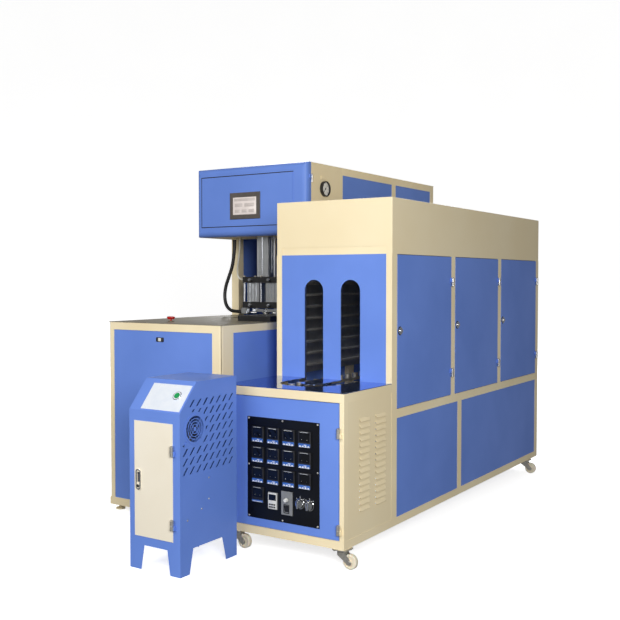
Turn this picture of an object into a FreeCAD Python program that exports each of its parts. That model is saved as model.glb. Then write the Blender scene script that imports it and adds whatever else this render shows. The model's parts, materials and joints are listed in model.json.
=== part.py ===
"""Two-step stretch blow moulding machine: preheating oven with console, press, and drive cabinet.

Millimetres, +Z up, +X to the operator's right, +Y to the rear.
Pieces are laid out from the oven's right front corner on the floor, and moved at the end so that
the origin is the middle of the whole machine's footprint.
"""
import FreeCAD, Part
import math
import os

V = FreeCAD.Vector

# ---------------------------------------------------------------- driving dimensions: oven
OVEN_WIDTH = 630.0
CONSOLE_DEPTH = 416.0
TUNNEL_LENGTH = 1968.0
OVEN_FLOOR = 82.0            # underside of the frame
SHELF_TOP = 734.0
DOOR_SILL = 613.0
DOOR_HEAD = 1317.0
HOOD_FOLD = 1352.0
OVEN_TOP = 1571.0
POST_X = 30.0
POST_Y = 50.0
RAIL_H = 41.0
BASE_RAIL_H = 36.0
TUBE_WALL = 2.5
SHEET = 2.0
FRONT_POST = 22.0

# ---------------------------------------------------------------- driving dimensions: conveyor
TRACK_X = -317.0             # centre line of the preform track
TRACK_Y = 250.0              # centre of the turn at the loading shelf
TRACK_R = 100.0
SLOT_WIDTH = 90.0
ARCH_TOP = 1200.0
ARCH_SILL = 759.0
CARRIER_COUNT = 64
CARRIER_R = 16.0
CHAIN_Z = 690.0
CHAIN_H = 14.0
CHAIN_T = 8.0

# ---------------------------------------------------------------- driving dimensions: doors
GAP = 2.5                    # open line round a door
LEAF = 22.0                  # depth of a folded door leaf
PROUD = 2.0                  # how far a leaf stands out of its frame
HINGE_OUT = 10.0             # pin centre in front of the frame's face
BARREL_R = 7.0
PIN_R = 4.0
RUN = 0.05                   # radial running clearance
BARREL_H = 20.0
LOCK_R = 17.0
LOCK_OUT = 13.0

# ---------------------------------------------------------------- driving dimensions: instrument panel
PANEL_X0, PANEL_X1 = -492.0, -118.0
PANEL_Z0, PANEL_Z1 = 157.0, 602.0
MODULE_W, MODULE_H = 64.0, 68.0
MODULE_COLS = (-465.4, -384.0, -302.2, -220.4)
MODULE_ROWS = (493.0, 404.5, 316.0)
KNOB_R = 20.0

# ---------------------------------------------------------------- driving dimensions: console louvres
LOUVRE_Y = ((128.0, 210.0), (268.0, 355.0))
LOUVRE_Z, LOUVRE_PITCH, LOUVRE_ROWS = 224.0, 27.2, 15
LOUVRE_OUT = 7.5             # how far a louvre's hood stands out of the sheet

# ---------------------------------------------------------------- driving dimensions: castors
WHEEL_R = 32.0
WHEEL_W = 24.0
AXLE_R = 5.0
STEM_R = 8.0
TRAIL = 38.0
CASTOR_X = (-572.0, -24.0)
CASTOR_Y = (30.0, 2230.0)

# ---------------------------------------------------------------- driving dimensions: press
UNIT_GAP = 155.0             # between the oven's left side and the press table
TABLE_WIDTH = 743.0
TABLE_FRONT = 178.0
TABLE_TOP = 984.0
COLUMN_LEFT_W, COLUMN_RIGHT_W = 36.0, 56.0   # the table's folded front columns
COLUMN_D = 93.0
PRESS_FOOT = 31.0
HEAD_WIDTH = 769.0
HEAD_FRONT = 902.0
HEAD_DOOR_D = 45.0
HEAD_HINGE_OUT = 6.0
HEAD_DOOR_R = 30.0           # rolled edge of the box's door
HEAD_SKIN = 3.0
HEAD_GROOVE = 5.0            # joint line round the door's inner panel
HEAD_GROOVE_D = 2.0
HEAD_FLOOR = 1445.5
PRESS_TOP = 1838.5
BODY_FRONT = 1233.0
PRESS_REAR = 2491.0
HEAD_Y = 1060.0              # blowing axis
SEAL_PITCH = 132.0           # between the two sealing cylinders
SEAL_BODY = 84.0             # square outside of a sealing cylinder
SEAL_BORE_R = 36.0
SEAL_PLATE = 62.0            # from a sealing cylinder's axis to the plate's edge
MOULD_W = 300.0
MOULD_D = 160.0
MOULD_H = 535.0
MOULD_TOP = 974.0
CAVITY_R = 118.0
MOULD_STROKE = 120.0
PARTING = 0.4
MANIFOLD_OUT = 151.5         # air manifold: right of the blowing axis, length along the table, height
MANIFOLD_Y0, MANIFOLD_Y1 = 590.0, 1150.0
MANIFOLD_H = 28.0
NOZZLE_STROKE = 22.0
NOZZLE_LOW = MOULD_TOP + NOZZLE_STROKE + 3
ESTOP_X, ESTOP_Y = -1239.0, 332.0
GAUGE_Y, GAUGE_Z = 1078.0, 1702.0
HOSE_R = 10.0
TUBE_R = 5.0
STRETCH_STROKE = 300.0
BEAM_Z = 1580.0             # underside of the beam that the stretch cylinder hangs from

# ---------------------------------------------------------------- driving dimensions: drive cabinet
CAB_X0, CAB_X1 = -777.4, -500.9
CAB_Y0, CAB_Y1 = -442.2, -73.2
CAB_TOP = 785.0
CAB_EDGE = 664.0             # front edge of the slanted panel
CAB_SLANT = 105.0            # how deep the slanted panel runs back
CAB_LEG = 103.0
CAB_DOOR_X0, CAB_DOOR_X1 = -748.0, -538.0
CAB_DOOR_Z0, CAB_DOOR_Z1 = 140.0, 620.0
FAN_Y, FAN_Z, FAN_R = -351.0, 592.0, 57.0
VENT_PITCH_Y, VENT_PITCH_Z = 42.1, 39.0
VENT_COLUMNS, VENT_ROWS = 8, 8
VENT_Y, VENT_Z = 34.2, 425.0  # first slot's middle: behind the front edge, and above the floor
VENT_RUN, VENT_RISE = 17.6, 14.0   # half of a slot's run and rise
VENT_W = 11.0
VENT_FAN_MARGIN = 14.0
VENT_EDGE_MARGIN = 30.0
BUTTON_X, BUTTON_S = -557.0, 81.0   # start button: across, and up the slanted panel
BUTTON_R = 13.0

# ---------------------------------------------------------------- derived places
OVEN_REAR = CONSOLE_DEPTH + TUNNEL_LENGTH
DRIVE_Y = OVEN_REAR - 134.0
BAY = (TUNNEL_LENGTH - 4 * POST_Y) / 3
POSTS = [CONSOLE_DEPTH + i * (BAY + POST_Y) for i in range(4)]
TX1 = -OVEN_WIDTH - UNIT_GAP
TX0 = TX1 - TABLE_WIDTH
HEAD_X = (TX0 + TX1) / 2
HX0 = HEAD_X - HEAD_WIDTH / 2 - 5.0
HX1 = HX0 + HEAD_WIDTH
X_HIGH = CASTOR_X[1] + TRAIL + WHEEL_R
Y_LOW = CAB_Y0 - HINGE_OUT - BARREL_R
ORIGIN = V((HX0 + X_HIGH) / 2, (Y_LOW + PRESS_REAR) / 2, 0)

SCREEN = (HEAD_X - 140.5, HEAD_X + 71.0, HEAD_FLOOR + 96.5, HEAD_FLOOR + 246.0)   # x, x, z, z

HOSE_TOP = (HEAD_X - 225, HEAD_Y - 10)
TUBES_TOP = (HEAD_X - 226, HEAD_Y + 40)

NODES = {}


# ---------------------------------------------------------------- small helpers
def add(name, *solids):
    """Put solids into a named node."""
    NODES.setdefault(name, []).extend(solids)


def block(x0, x1, y0, y1, z0, z1):
    """A box between two corners given in any order."""
    low = V(min(x0, x1), min(y0, y1), min(z0, z1))
    return Part.makeBox(abs(x1 - x0), abs(y1 - y0), abs(z1 - z0), low)


def rod(r, start, end):
    """A round bar between two points."""
    line = V(*end) - V(*start)
    return Part.makeCylinder(r, line.Length, V(*start), line)


def pipe(r_out, r_in, start, end):
    """A round tube between two points."""
    return rod(r_out, start, end).cut(rod(r_in, start, end))


def tube(x0, x1, y0, y1, z0, z1, wall=TUBE_WALL):
    """A rectangular hollow section that runs along its longest side, with open ends."""
    size = (x1 - x0, y1 - y0, z1 - z0)
    run = size.index(max(size))
    inset = [wall] * 3
    inset[run] = 0
    hole = block(x0 + inset[0], x1 - inset[0], y0 + inset[1], y1 - inset[1], z0 + inset[2], z1 - inset[2])
    return block(x0, x1, y0, y1, z0, z1).cut(hole)


def end_plugs(name, x0, x1, y0, y1, z0, z1, wall=TUBE_WALL, thick=3.0):
    """Closing plates let into both open ends of a box tube."""
    low, high = V(x0, y0, z0), V(x1, y1, z1)
    run = max(range(3), key=lambda i: (high - low)[i])
    inset = V(wall, wall, wall)
    for end in (0, 1):
        a, b = low + inset, high - inset
        a[run] = high[run] - thick if end else low[run]
        b[run] = a[run] + thick
        add(name, block(a.x, b.x, a.y, b.y, a.z, b.z))


def prism(points, vector):
    """A flat outline pushed along a vector."""
    wire = Part.makePolygon([V(*p) for p in points] + [V(*points[0])])
    return Part.Face(wire).extrude(V(*vector))


def tray(x0, x1, y0, y1, z0, z1, open_side, wall=SHEET):
    """A folded sheet tray: a box with one open side, such as '-x' or '+y'."""
    low = [x0 + wall, y0 + wall, z0 + wall]
    high = [x1 - wall, y1 - wall, z1 - wall]
    axis = "xyz".index(open_side[1])
    if open_side[0] == "+":
        high[axis] += wall
    else:
        low[axis] -= wall
    hole = block(low[0], high[0], low[1], high[1], low[2], high[2])
    return block(x0, x1, y0, y1, z0, z1).cut(hole)


def rounded(shape, radius, test):
    """Fillet the straight edges whose middle passes a test."""
    edges = [e for e in shape.Edges if test(e.CenterOfMass, e)]
    return shape.makeFillet(radius, edges)


def barrel_hinge(ax, ay, z, normal, leaf):
    """A lift-off barrel hinge: returns its wall half, its leaf half and its pin.

    normal points out of the frame's face and leaf points from the pin towards the door.
    """
    def tab(side, back, z0, z1):
        p = V(ax, ay, 0) + leaf * (side * GAP / 2)
        q = V(ax, ay, 0) + leaf * (side * 12) - normal * back
        return block(p.x, q.x, p.y, q.y, z0, z1)

    low, mid, high = z, z + BARREL_H, z + 2 * BARREL_H + 0.5
    wall = rod(BARREL_R, (ax, ay, low), (ax, ay, mid)).fuse(tab(-1, HINGE_OUT, low, mid))
    wall = wall.cut(rod(PIN_R, (ax, ay, low), (ax, ay, mid)))
    door = rod(BARREL_R, (ax, ay, mid + 0.5), (ax, ay, high))
    door = door.fuse(tab(1, HINGE_OUT - PROUD, mid + 0.5, high))
    door = door.cut(rod(PIN_R + RUN, (ax, ay, mid + 0.5), (ax, ay, high)))
    pin = rod(PIN_R, (ax, ay, low), (ax, ay, high + 2))
    return wall, door, pin


# ---------------------------------------------------------------- oven frame
def oven_frame():
    """Welded tube frame of the oven and its console, with the conveyor's beam."""
    base = OVEN_FLOOR + BASE_RAIL_H
    shelf = SHELF_TOP - 3
    left = -OVEN_WIDTH
    for x0 in (-POST_X, left):
        add("oven_frame", tube(x0, x0 + POST_X, 0, OVEN_REAR, OVEN_FLOOR, base))
        end_plugs("oven_frame", x0, x0 + POST_X, 0, OVEN_REAR, OVEN_FLOOR, base)
        add("oven_frame", tube(x0, x0 + POST_X, 30, CONSOLE_DEPTH, shelf - 38, shelf))
        add("oven_frame", tube(x0, x0 + POST_X, OVEN_REAR - BAY - BAY - POST_Y - 12, OVEN_REAR - BAY - BAY - 12,
                               base, DOOR_SILL - RAIL_H))
        for i, y in enumerate(POSTS):
            foot = base if i in (0, 3) else DOOR_SILL
            add("oven_frame", tube(x0, x0 + POST_X, y, y + POST_Y, foot, DOOR_HEAD))
        add("oven_frame", tube(x0, x0 + POST_X, POSTS[0] + POST_Y, POSTS[3], DOOR_SILL - RAIL_H, DOOR_SILL))
        skin = -SHEET if x0 > left else SHEET
        add("oven_frame", tube(x0 + skin, x0 + POST_X + skin, CONSOLE_DEPTH + SHEET, OVEN_REAR - SHEET,
                               DOOR_HEAD, HOOD_FOLD))
    for x0 in (left, -FRONT_POST):
        add("oven_frame", tube(x0, x0 + FRONT_POST, 0, 30, base, shelf - 38))
    add("oven_frame", tube(left, 0, 0, 30, shelf - 38, shelf))
    end_plugs("oven_frame", left, 0, 0, 30, shelf - 38, shelf)
    inner = (left + POST_X, -POST_X)
    for y in (0, POSTS[0], POSTS[3]):
        add("oven_frame", tube(*inner, y, y + (30 if y == 0 else POST_Y), OVEN_FLOOR, base))
    for y in (POSTS[0], POSTS[3]):
        add("oven_frame", tube(*inner, y, y + POST_Y, DOOR_SILL - RAIL_H, DOOR_SILL))
    for y in (CONSOLE_DEPTH + SHEET, OVEN_REAR - SHEET - POST_X):
        add("oven_frame", tube(inner[0] + SHEET, inner[1] - SHEET, y, y + POST_X, DOOR_HEAD, HOOD_FOLD))
    beam = tube(TRACK_X - 25, TRACK_X + 25, TRACK_Y - 40, OVEN_REAR - 10, DOOR_SILL, DOOR_SILL + 40)
    drive_hole = rod(15, (TRACK_X, DRIVE_Y, DOOR_SILL - 1), (TRACK_X, DRIVE_Y, DOOR_SILL + 41))
    add("oven_frame", beam.cut(drive_hole))


# ---------------------------------------------------------------- oven covers
def oven_covers():
    """Hood, fixed panels, console sides and the shelf with its track slot."""
    left = -OVEN_WIDTH
    shell = block(left, 0, CONSOLE_DEPTH, OVEN_REAR, DOOR_HEAD, OVEN_TOP)
    room = block(left + SHEET, -SHEET, CONSOLE_DEPTH + SHEET, OVEN_REAR - SHEET, DOOR_HEAD, OVEN_TOP - SHEET)
    front_step = block(left + 30, -30, CONSOLE_DEPTH, CONSOLE_DEPTH + SHEET, DOOR_HEAD, HOOD_FOLD)
    shell = rounded(shell, 4.0, lambda c, e: c.z > DOOR_HEAD + 1)
    add("oven_hood", shell.cut(room).cut(front_step))

    # front panel with two arched mouths, set between the front posts
    panel = block(left + POST_X, -POST_X, CONSOLE_DEPTH + 1, CONSOLE_DEPTH + 1 + SHEET, SHELF_TOP, DOOR_HEAD)
    for side in (-1, 1):
        x = TRACK_X + side * TRACK_R
        half = (SLOT_WIDTH + 14) / 2
        spring = ARCH_TOP - half
        panel = panel.cut(block(x - half, x + half, CONSOLE_DEPTH, CONSOLE_DEPTH + 5, ARCH_SILL - 30, spring))
        panel = panel.cut(rod(half, (x, CONSOLE_DEPTH, spring), (x, CONSOLE_DEPTH + 5, spring)))
    add("oven_front_panel", panel)

    # side, rear and lower panels, 2 mm sheet let in behind the posts' faces
    base = OVEN_FLOOR + BASE_RAIL_H
    mid = OVEN_REAR - BAY - BAY - POST_Y - 12
    for x0, x1 in ((-3, -3 + SHEET), (left + 1, left + 1 + SHEET)):
        add("oven_panels", block(x0, x1, POSTS[0] + POST_Y, mid, base, DOOR_SILL - RAIL_H))
        add("oven_panels", block(x0, x1, mid + POST_Y, POSTS[3], base, DOOR_SILL - RAIL_H))
    for i in range(3):
        add("oven_panels", block(left + 1, left + 1 + SHEET, POSTS[i] + POST_Y, POSTS[i + 1], DOOR_SILL, DOOR_HEAD))
    for z0, z1 in ((base, DOOR_SILL - RAIL_H), (DOOR_SILL, DOOR_HEAD)):
        add("oven_panels", block(left + POST_X, -POST_X, OVEN_REAR - 3, OVEN_REAR - 1, z0, z1))

    # console sides: a louvred sheet on the right and the same on the left
    for side, x0 in ((1, -SHEET - 1), (-1, left + 1)):
        sheet = block(x0, x0 + SHEET, 30, CONSOLE_DEPTH, base, SHELF_TOP - 41)
        fins = []
        for y0, y1 in LOUVRE_Y:
            for i in range(LOUVRE_ROWS):
                z = LOUVRE_Z + LOUVRE_PITCH * i
                sheet = sheet.cut(block(x0, x0 + SHEET, y0, y1, z - 4, z + 4))
                face = x0 + SHEET if side > 0 else x0
                outline = [(face, y0, z + 9), (face + side * LOUVRE_OUT, y0, z - 5),
                           (face + side * (LOUVRE_OUT - 1.4), y0, z - 5), (face, y0, z + 4.6)]
                fins.append(prism(outline, (0, y1 - y0, 0)))
        for fin in fins:
            sheet = sheet.fuse(fin)
        add("console_side_panels", sheet)

    # shelf plate, slotted along the carriers' path, with the tongue inside the turn
    plate = block(left, 0, 0, CONSOLE_DEPTH, SHELF_TOP - 3, SHELF_TOP)
    r_out, r_in = TRACK_R + SLOT_WIDTH / 2, TRACK_R - SLOT_WIDTH / 2
    z0, z1 = SHELF_TOP - 3, SHELF_TOP
    hole = rod(r_out, (TRACK_X, TRACK_Y, z0), (TRACK_X, TRACK_Y, z1))
    hole = hole.fuse(block(TRACK_X - r_out, TRACK_X + r_out, TRACK_Y, CONSOLE_DEPTH, z0, z1))
    tongue = rod(r_in, (TRACK_X, TRACK_Y, z0), (TRACK_X, TRACK_Y, z1))
    tongue = tongue.fuse(block(TRACK_X - r_in, TRACK_X + r_in, TRACK_Y, CONSOLE_DEPTH, z0, z1))
    stay = block(TRACK_X - 15, TRACK_X + 15, TRACK_Y + TRACK_R + 10, TRACK_Y + TRACK_R + 40, DOOR_SILL + 40, z0)
    add("console_shelf", plate.cut(hole), tongue.fuse(stay).removeSplitter())


# ---------------------------------------------------------------- oven doors
def oven_doors():
    """Three side doors on lift-off hinges, each with a quarter-turn lock."""
    for i, name in enumerate(("front", "middle", "rear")):
        y0, y1 = POSTS[i] + POST_Y + GAP, POSTS[i + 1] - GAP
        leaf = tray(PROUD - LEAF, PROUD, y0, y1, DOOR_SILL + GAP, DOOR_HEAD - GAP, "-x", 1.5)
        lock_y, lock_z = y0 + 22, 968.0
        leaf = leaf.cut(rod(9 + RUN, (0, lock_y, lock_z), (PROUD + 1, lock_y, lock_z)))
        for z in (DOOR_SILL + 95, DOOR_HEAD - 150):
            wall, door, pin = barrel_hinge(HINGE_OUT, POSTS[i + 1] - GAP / 2, z, V(1, 0, 0), V(0, -1, 0))
            add("oven_frame", wall)
            add("hinge_pins", pin)
            leaf = leaf.fuse(door)
        add("oven_door_" + name, leaf)
        lock = rod(9, (-POST_X - 8, lock_y, lock_z), (PROUD + 0.3, lock_y, lock_z))
        lock = lock.fuse(rod(LOCK_R, (PROUD + 0.3, lock_y, lock_z), (PROUD + 5, lock_y, lock_z)))
        lock = lock.fuse(rod(9, (PROUD + 5, lock_y, lock_z), (LOCK_OUT, lock_y, lock_z)))
        lock = lock.fuse(block(-POST_X - 8, -POST_X - 4, lock_y - 8, lock_y + 8, lock_z - 34, lock_z + 9))
        slot = block(LOCK_OUT - 3, LOCK_OUT, lock_y - 6, lock_y + 6, lock_z - 1, lock_z + 1)
        add("door_lock_" + name, lock.cut(slot))


# ---------------------------------------------------------------- console door and its instruments
def console():
    """Front door of the console with the instrument panel and everything on it."""
    left = -OVEN_WIDTH
    x0, x1 = left + FRONT_POST + GAP, -FRONT_POST - GAP
    z0, z1 = OVEN_FLOOR + BASE_RAIL_H + GAP, SHELF_TOP - 41 - GAP
    door = tray(x0, x1, -PROUD, LEAF - PROUD, z0, z1, "+y", 1.5)
    window = block(PANEL_X0 + 12, PANEL_X1 - 12, -PROUD, LEAF, PANEL_Z0 + 12, PANEL_Z1 - 12)
    door = door.cut(window)
    for z in (OVEN_FLOOR + 62, SHELF_TOP - 188):
        wall, half, pin = barrel_hinge(-FRONT_POST - GAP / 2, -HINGE_OUT, z, V(0, -1, 0), V(-1, 0, 0))
        add("oven_frame", wall)
        add("hinge_pins", pin)
        door = door.fuse(half)
    add("console_door", door)

    face = -PROUD - 3
    plate = block(PANEL_X0, PANEL_X1, face, -PROUD, PANEL_Z0, PANEL_Z1)
    units = [(x, z) for z in MODULE_ROWS for x in MODULE_COLS] + [(MODULE_COLS[0], 228.0)]
    for x, z in units:
        body = block(x + 5, x + MODULE_W - 5, face, 60, z + 5, z + MODULE_H - 5)
        bezel = block(x, x + MODULE_W, face - 8, face, z, z + MODULE_H)
        bezel = rounded(bezel, 3.0, lambda c, e: c.y < face - 7.9)
        glass = block(x + 6, x + MODULE_W - 6, face - 8, face - 6.5, z + 22, z + MODULE_H - 6)
        plate = plate.cut(body)
        add("power_regulators", bezel.cut(glass).fuse(body))
    for bx0, bx1, bz0, bz1 in ((-377.5, -329.7, 208.0, 281.0), (-308.6, -251.4, 192.0, 294.0)):
        body = block(bx0 + 5, bx1 - 5, face, 70, bz0 + 6, bz1 - 6)
        bezel = rounded(block(bx0, bx1, face - 7, face, bz0, bz1), 3.0, lambda c, e: c.y < face - 6.9)
        plate = plate.cut(body)
        unit = bezel.fuse(body)
        if bx0 > -320:
            cx = (bx0 + bx1) / 2
            knob_z, rocker_z = bz1 - 36, bz0 + 28
            unit = unit.cut(rod(3 + RUN, (cx, face - 8, knob_z), (cx, face + 12, knob_z)))
            unit = unit.cut(block(cx - 10.3, cx + 10.3, face - 8, face + 14, rocker_z - 14.3, rocker_z + 14.3))
            knob = rod(3, (cx, face + 11, knob_z), (cx, face - 7.5, knob_z))
            knob = knob.fuse(Part.makeCone(9, 7.5, 12, V(cx, face - 7.5, knob_z), V(0, -1, 0)))
            mark = block(cx - 0.8, cx + 0.8, face - 20, face - 18, knob_z + 1, knob_z + 9)
            add("speed_knob", knob.cut(mark))
            add("run_switch", rocker(cx, face - 3, rocker_z))
        add("panel_controllers", unit)
    for name, x, z in (("selector_left", -214.0, 250.0), ("selector_right", -166.0, 248.0)):
        bush = rod(14, (x, face - 4, z), (x, face, z)).fuse(rod(11, (x, face, z), (x, 40, z)))
        plate = plate.cut(rod(11, (x, face - 1, z), (x, 0, z)))
        bore = rod(4 + RUN, (x, face - 5, z), (x, 30, z))
        add("panel_controllers", bush.cut(bore))
        knob = rod(4, (x, 28, z), (x, face - 4.3, z))
        knob = knob.fuse(Part.makeCone(KNOB_R, KNOB_R - 2, 7, V(x, face - 4.3, z), V(0, -1, 0)))
        grip = block(x - 5, x + 5, face - 26, face - 11, z - KNOB_R + 3, z + KNOB_R - 3)
        grip = rounded(grip, 3.0, lambda c, e: c.y < face - 25.9)
        add(name, knob.fuse(grip))
    add("instrument_panel", plate)


def rocker(cx, y, z):
    """A rocker that tilts about a pin along X."""
    profile = [(cx - 10, y + 8, z - 12), (cx - 10, y - 2, z - 13.5), (cx - 10, y - 5, z),
               (cx - 10, y - 8, z + 13.5), (cx - 10, y + 8, z + 12)]
    return prism(profile, (20, 0, 0))


# ---------------------------------------------------------------- castors
def castors():
    """Four swivel castors: plate with bearing cup, fork with stem, wheel with tyre."""
    cup_low = OVEN_FLOOR - 13
    for iy, y in enumerate(CASTOR_Y):
        for ix, x in enumerate(CASTOR_X):
            tag = ("front", "rear")[iy] + "_" + ("left", "right")[ix]
            plate = block(x - 34, x + 34, y - 34, y + 34, OVEN_FLOOR - 4, OVEN_FLOOR)
            plate = rounded(plate, 6, lambda c, e: abs(c.z - OVEN_FLOOR + 2) < 0.1)
            cup = Part.makeCone(22, 26, 9, V(x, y, cup_low), V(0, 0, 1))
            bore = rod(STEM_R + RUN, (x, y, cup_low), (x, y, OVEN_FLOOR - 1))
            for dx in (-25, 25):
                for dy in (-25, 25):
                    bolt = rod(5.5, (x + dx, y + dy, OVEN_FLOOR - 8), (x + dx, y + dy, OVEN_FLOOR - 4))
                    plate = plate.fuse(bolt)
            add("castor_plates", plate.fuse(cup).cut(bore))
            crown = rod(23, (x, y, cup_low - 4), (x, y, cup_low - 0.3))
            stem = rod(STEM_R, (x, y, cup_low - 1), (x, y, OVEN_FLOOR - 2))
            fork = crown.fuse(stem)
            ax, az = x + TRAIL, WHEEL_R
            for side in (-1, 1):
                y0 = y + side * (WHEEL_W / 2 + 1)
                outline = [(x - 18, y0, cup_low - 0.3), (x - 18, y0, cup_low - 14), (ax - 13, y0, az - 6),
                           (ax - 6, y0, az - 12), (ax + 6, y0, az - 12), (ax + 13, y0, az - 2),
                           (x + 20, y0, cup_low - 0.3)]
                fork = fork.fuse(prism(outline, (0, side * 3, 0)))
            side_y = WHEEL_W / 2 + 4
            fork = fork.fuse(rod(AXLE_R, (ax, y - side_y - 3, az), (ax, y + side_y + 3, az)))
            relief = pipe(WHEEL_R + 1, AXLE_R, (ax, y - WHEEL_W / 2 - 1, az), (ax, y + WHEEL_W / 2 + 1, az))
            add("castor_fork_" + tag, fork.cut(relief))
            wheel = rod(WHEEL_R, (ax, y - WHEEL_W / 2, az), (ax, y + WHEEL_W / 2, az))
            wheel = wheel.makeFillet(5, [e for e in wheel.Edges if abs(e.Length - 2 * math.pi * WHEEL_R) < 0.1])
            for side in (-1, 1):
                dish_y = y + side * (WHEEL_W / 2 - 4)
                wheel = wheel.cut(pipe(23, 11, (ax, dish_y, az), (ax, dish_y + side * 4, az)))
            add("castor_wheel_" + tag, wheel.cut(rod(AXLE_R + RUN, (ax, y - 20, az), (ax, y + 20, az))))


# ---------------------------------------------------------------- heating tunnel
def tunnel():
    """Reflectors, quartz lamps, carrier chain, sprockets and drive."""
    y0, y1 = CONSOLE_DEPTH + 14, OVEN_REAR - 30
    middle = (y0 + y1) / 2
    low, high = ARCH_SILL - 9, ARCH_TOP + 40
    for side in (-1, 1):
        wall_x = TRACK_X + side * (TRACK_R + 92)
        lamp_x = wall_x - side * 26
        sheet = block(wall_x, wall_x + side * SHEET, y0, y1, low, high)
        for y in (y0, middle, y1 - SHEET):
            foot = low if y == middle else DOOR_SILL
            end = block(wall_x, wall_x - side * 40, y, y + SHEET, foot, high)
            sheet = sheet.fuse(end)
        for k in range(8):
            z = low + 40 + k * 56
            for a, b in ((y0 - 6, middle - 12), (middle + 12 + SHEET, y1 + 6)):
                lamp = rod(6, (lamp_x, a, z), (lamp_x, b, z))
                sheet = sheet.cut(rod(6, (lamp_x, a - 1, z), (lamp_x, a + 12, z)))
                sheet = sheet.cut(rod(6, (lamp_x, b - 12, z), (lamp_x, b + 1, z)))
                add("quartz_lamps", lamp)
        for z in (low + 40 + k * 56 for k in range(8)):
            for ya in (middle - 12, middle + SHEET):
                add("quartz_lamps", rod(9, (lamp_x, ya, z), (lamp_x, ya + 12, z)))
        add("lamp_reflectors", sheet)

    # one closed loop of chain with a carrier at each pitch
    z0 = CHAIN_Z
    def loop(r):
        ends = rod(r, (TRACK_X, TRACK_Y, z0), (TRACK_X, TRACK_Y, z0 + CHAIN_H))
        ends = ends.fuse(rod(r, (TRACK_X, DRIVE_Y, z0), (TRACK_X, DRIVE_Y, z0 + CHAIN_H)))
        return ends.fuse(block(TRACK_X - r, TRACK_X + r, TRACK_Y, DRIVE_Y, z0, z0 + CHAIN_H)).removeSplitter()
    add("preform_chain", loop(TRACK_R + CHAIN_T / 2).cut(loop(TRACK_R - CHAIN_T / 2)))
    straight = DRIVE_Y - TRACK_Y
    length = 2 * straight + 2 * math.pi * TRACK_R
    for i in range(CARRIER_COUNT):
        s = i * length / CARRIER_COUNT
        if s < straight:
            x, y = TRACK_X + TRACK_R, TRACK_Y + s
        elif s < straight + math.pi * TRACK_R:
            a = (s - straight) / TRACK_R
            x, y = TRACK_X + TRACK_R * math.cos(a), DRIVE_Y + TRACK_R * math.sin(a)
        elif s < 2 * straight + math.pi * TRACK_R:
            x, y = TRACK_X - TRACK_R, DRIVE_Y - (s - straight - math.pi * TRACK_R)
        else:
            a = math.pi + (s - 2 * straight - math.pi * TRACK_R) / TRACK_R
            x, y = TRACK_X + TRACK_R * math.cos(a), TRACK_Y + TRACK_R * math.sin(a)
        add("preform_chain", rod(CARRIER_R, (x, y, z0 + CHAIN_H), (x, y, z0 + CHAIN_H + 22)))

    # sprockets: the idler turns on a fixed stud, the drive one on its own shaft
    top = DOOR_SILL + 40
    for name, y in (("idler_sprocket", TRACK_Y), ("drive_sprocket", DRIVE_Y)):
        disc = rod(TRACK_R - CHAIN_T / 2 - 0.4, (TRACK_X, y, z0 + 1), (TRACK_X, y, z0 + CHAIN_H - 3))
        for k in range(5):
            a = 2 * math.pi * k / 5
            hx, hy = TRACK_X + 55 * math.cos(a), y + 55 * math.sin(a)
            disc = disc.cut(rod(20, (hx, hy, z0), (hx, hy, z0 + CHAIN_H)))
        hub = rod(24, (TRACK_X, y, z0 - 14), (TRACK_X, y, z0 + CHAIN_H + 4))
        disc = disc.fuse(hub)
        if name == "idler_sprocket":
            disc = disc.cut(rod(12 + RUN, (TRACK_X, y, z0 - 20), (TRACK_X, y, z0 + 30)))
            collar = rod(20, (TRACK_X, y, top), (TRACK_X, y, z0 - 14.3))
            stud = collar.fuse(rod(12, (TRACK_X, y, top), (TRACK_X, y, z0 + CHAIN_H + 10)))
            add("conveyor_motor", stud)
        else:
            disc = disc.fuse(rod(12, (TRACK_X, y, DOOR_SILL - 60), (TRACK_X, y, z0)))
        add(name, disc)
    gearbox = block(TRACK_X - 55, TRACK_X + 55, DRIVE_Y - 55, DRIVE_Y + 55, DOOR_SILL - 110, DOOR_SILL)
    gearbox = gearbox.cut(rod(12 + RUN, (TRACK_X, DRIVE_Y, DOOR_SILL - 61), (TRACK_X, DRIVE_Y, DOOR_SILL + 1)))
    motor = rod(52, (TRACK_X, DRIVE_Y, DOOR_SILL - 290), (TRACK_X, DRIVE_Y, DOOR_SILL - 110))
    add("conveyor_motor", gearbox, motor)


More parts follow.
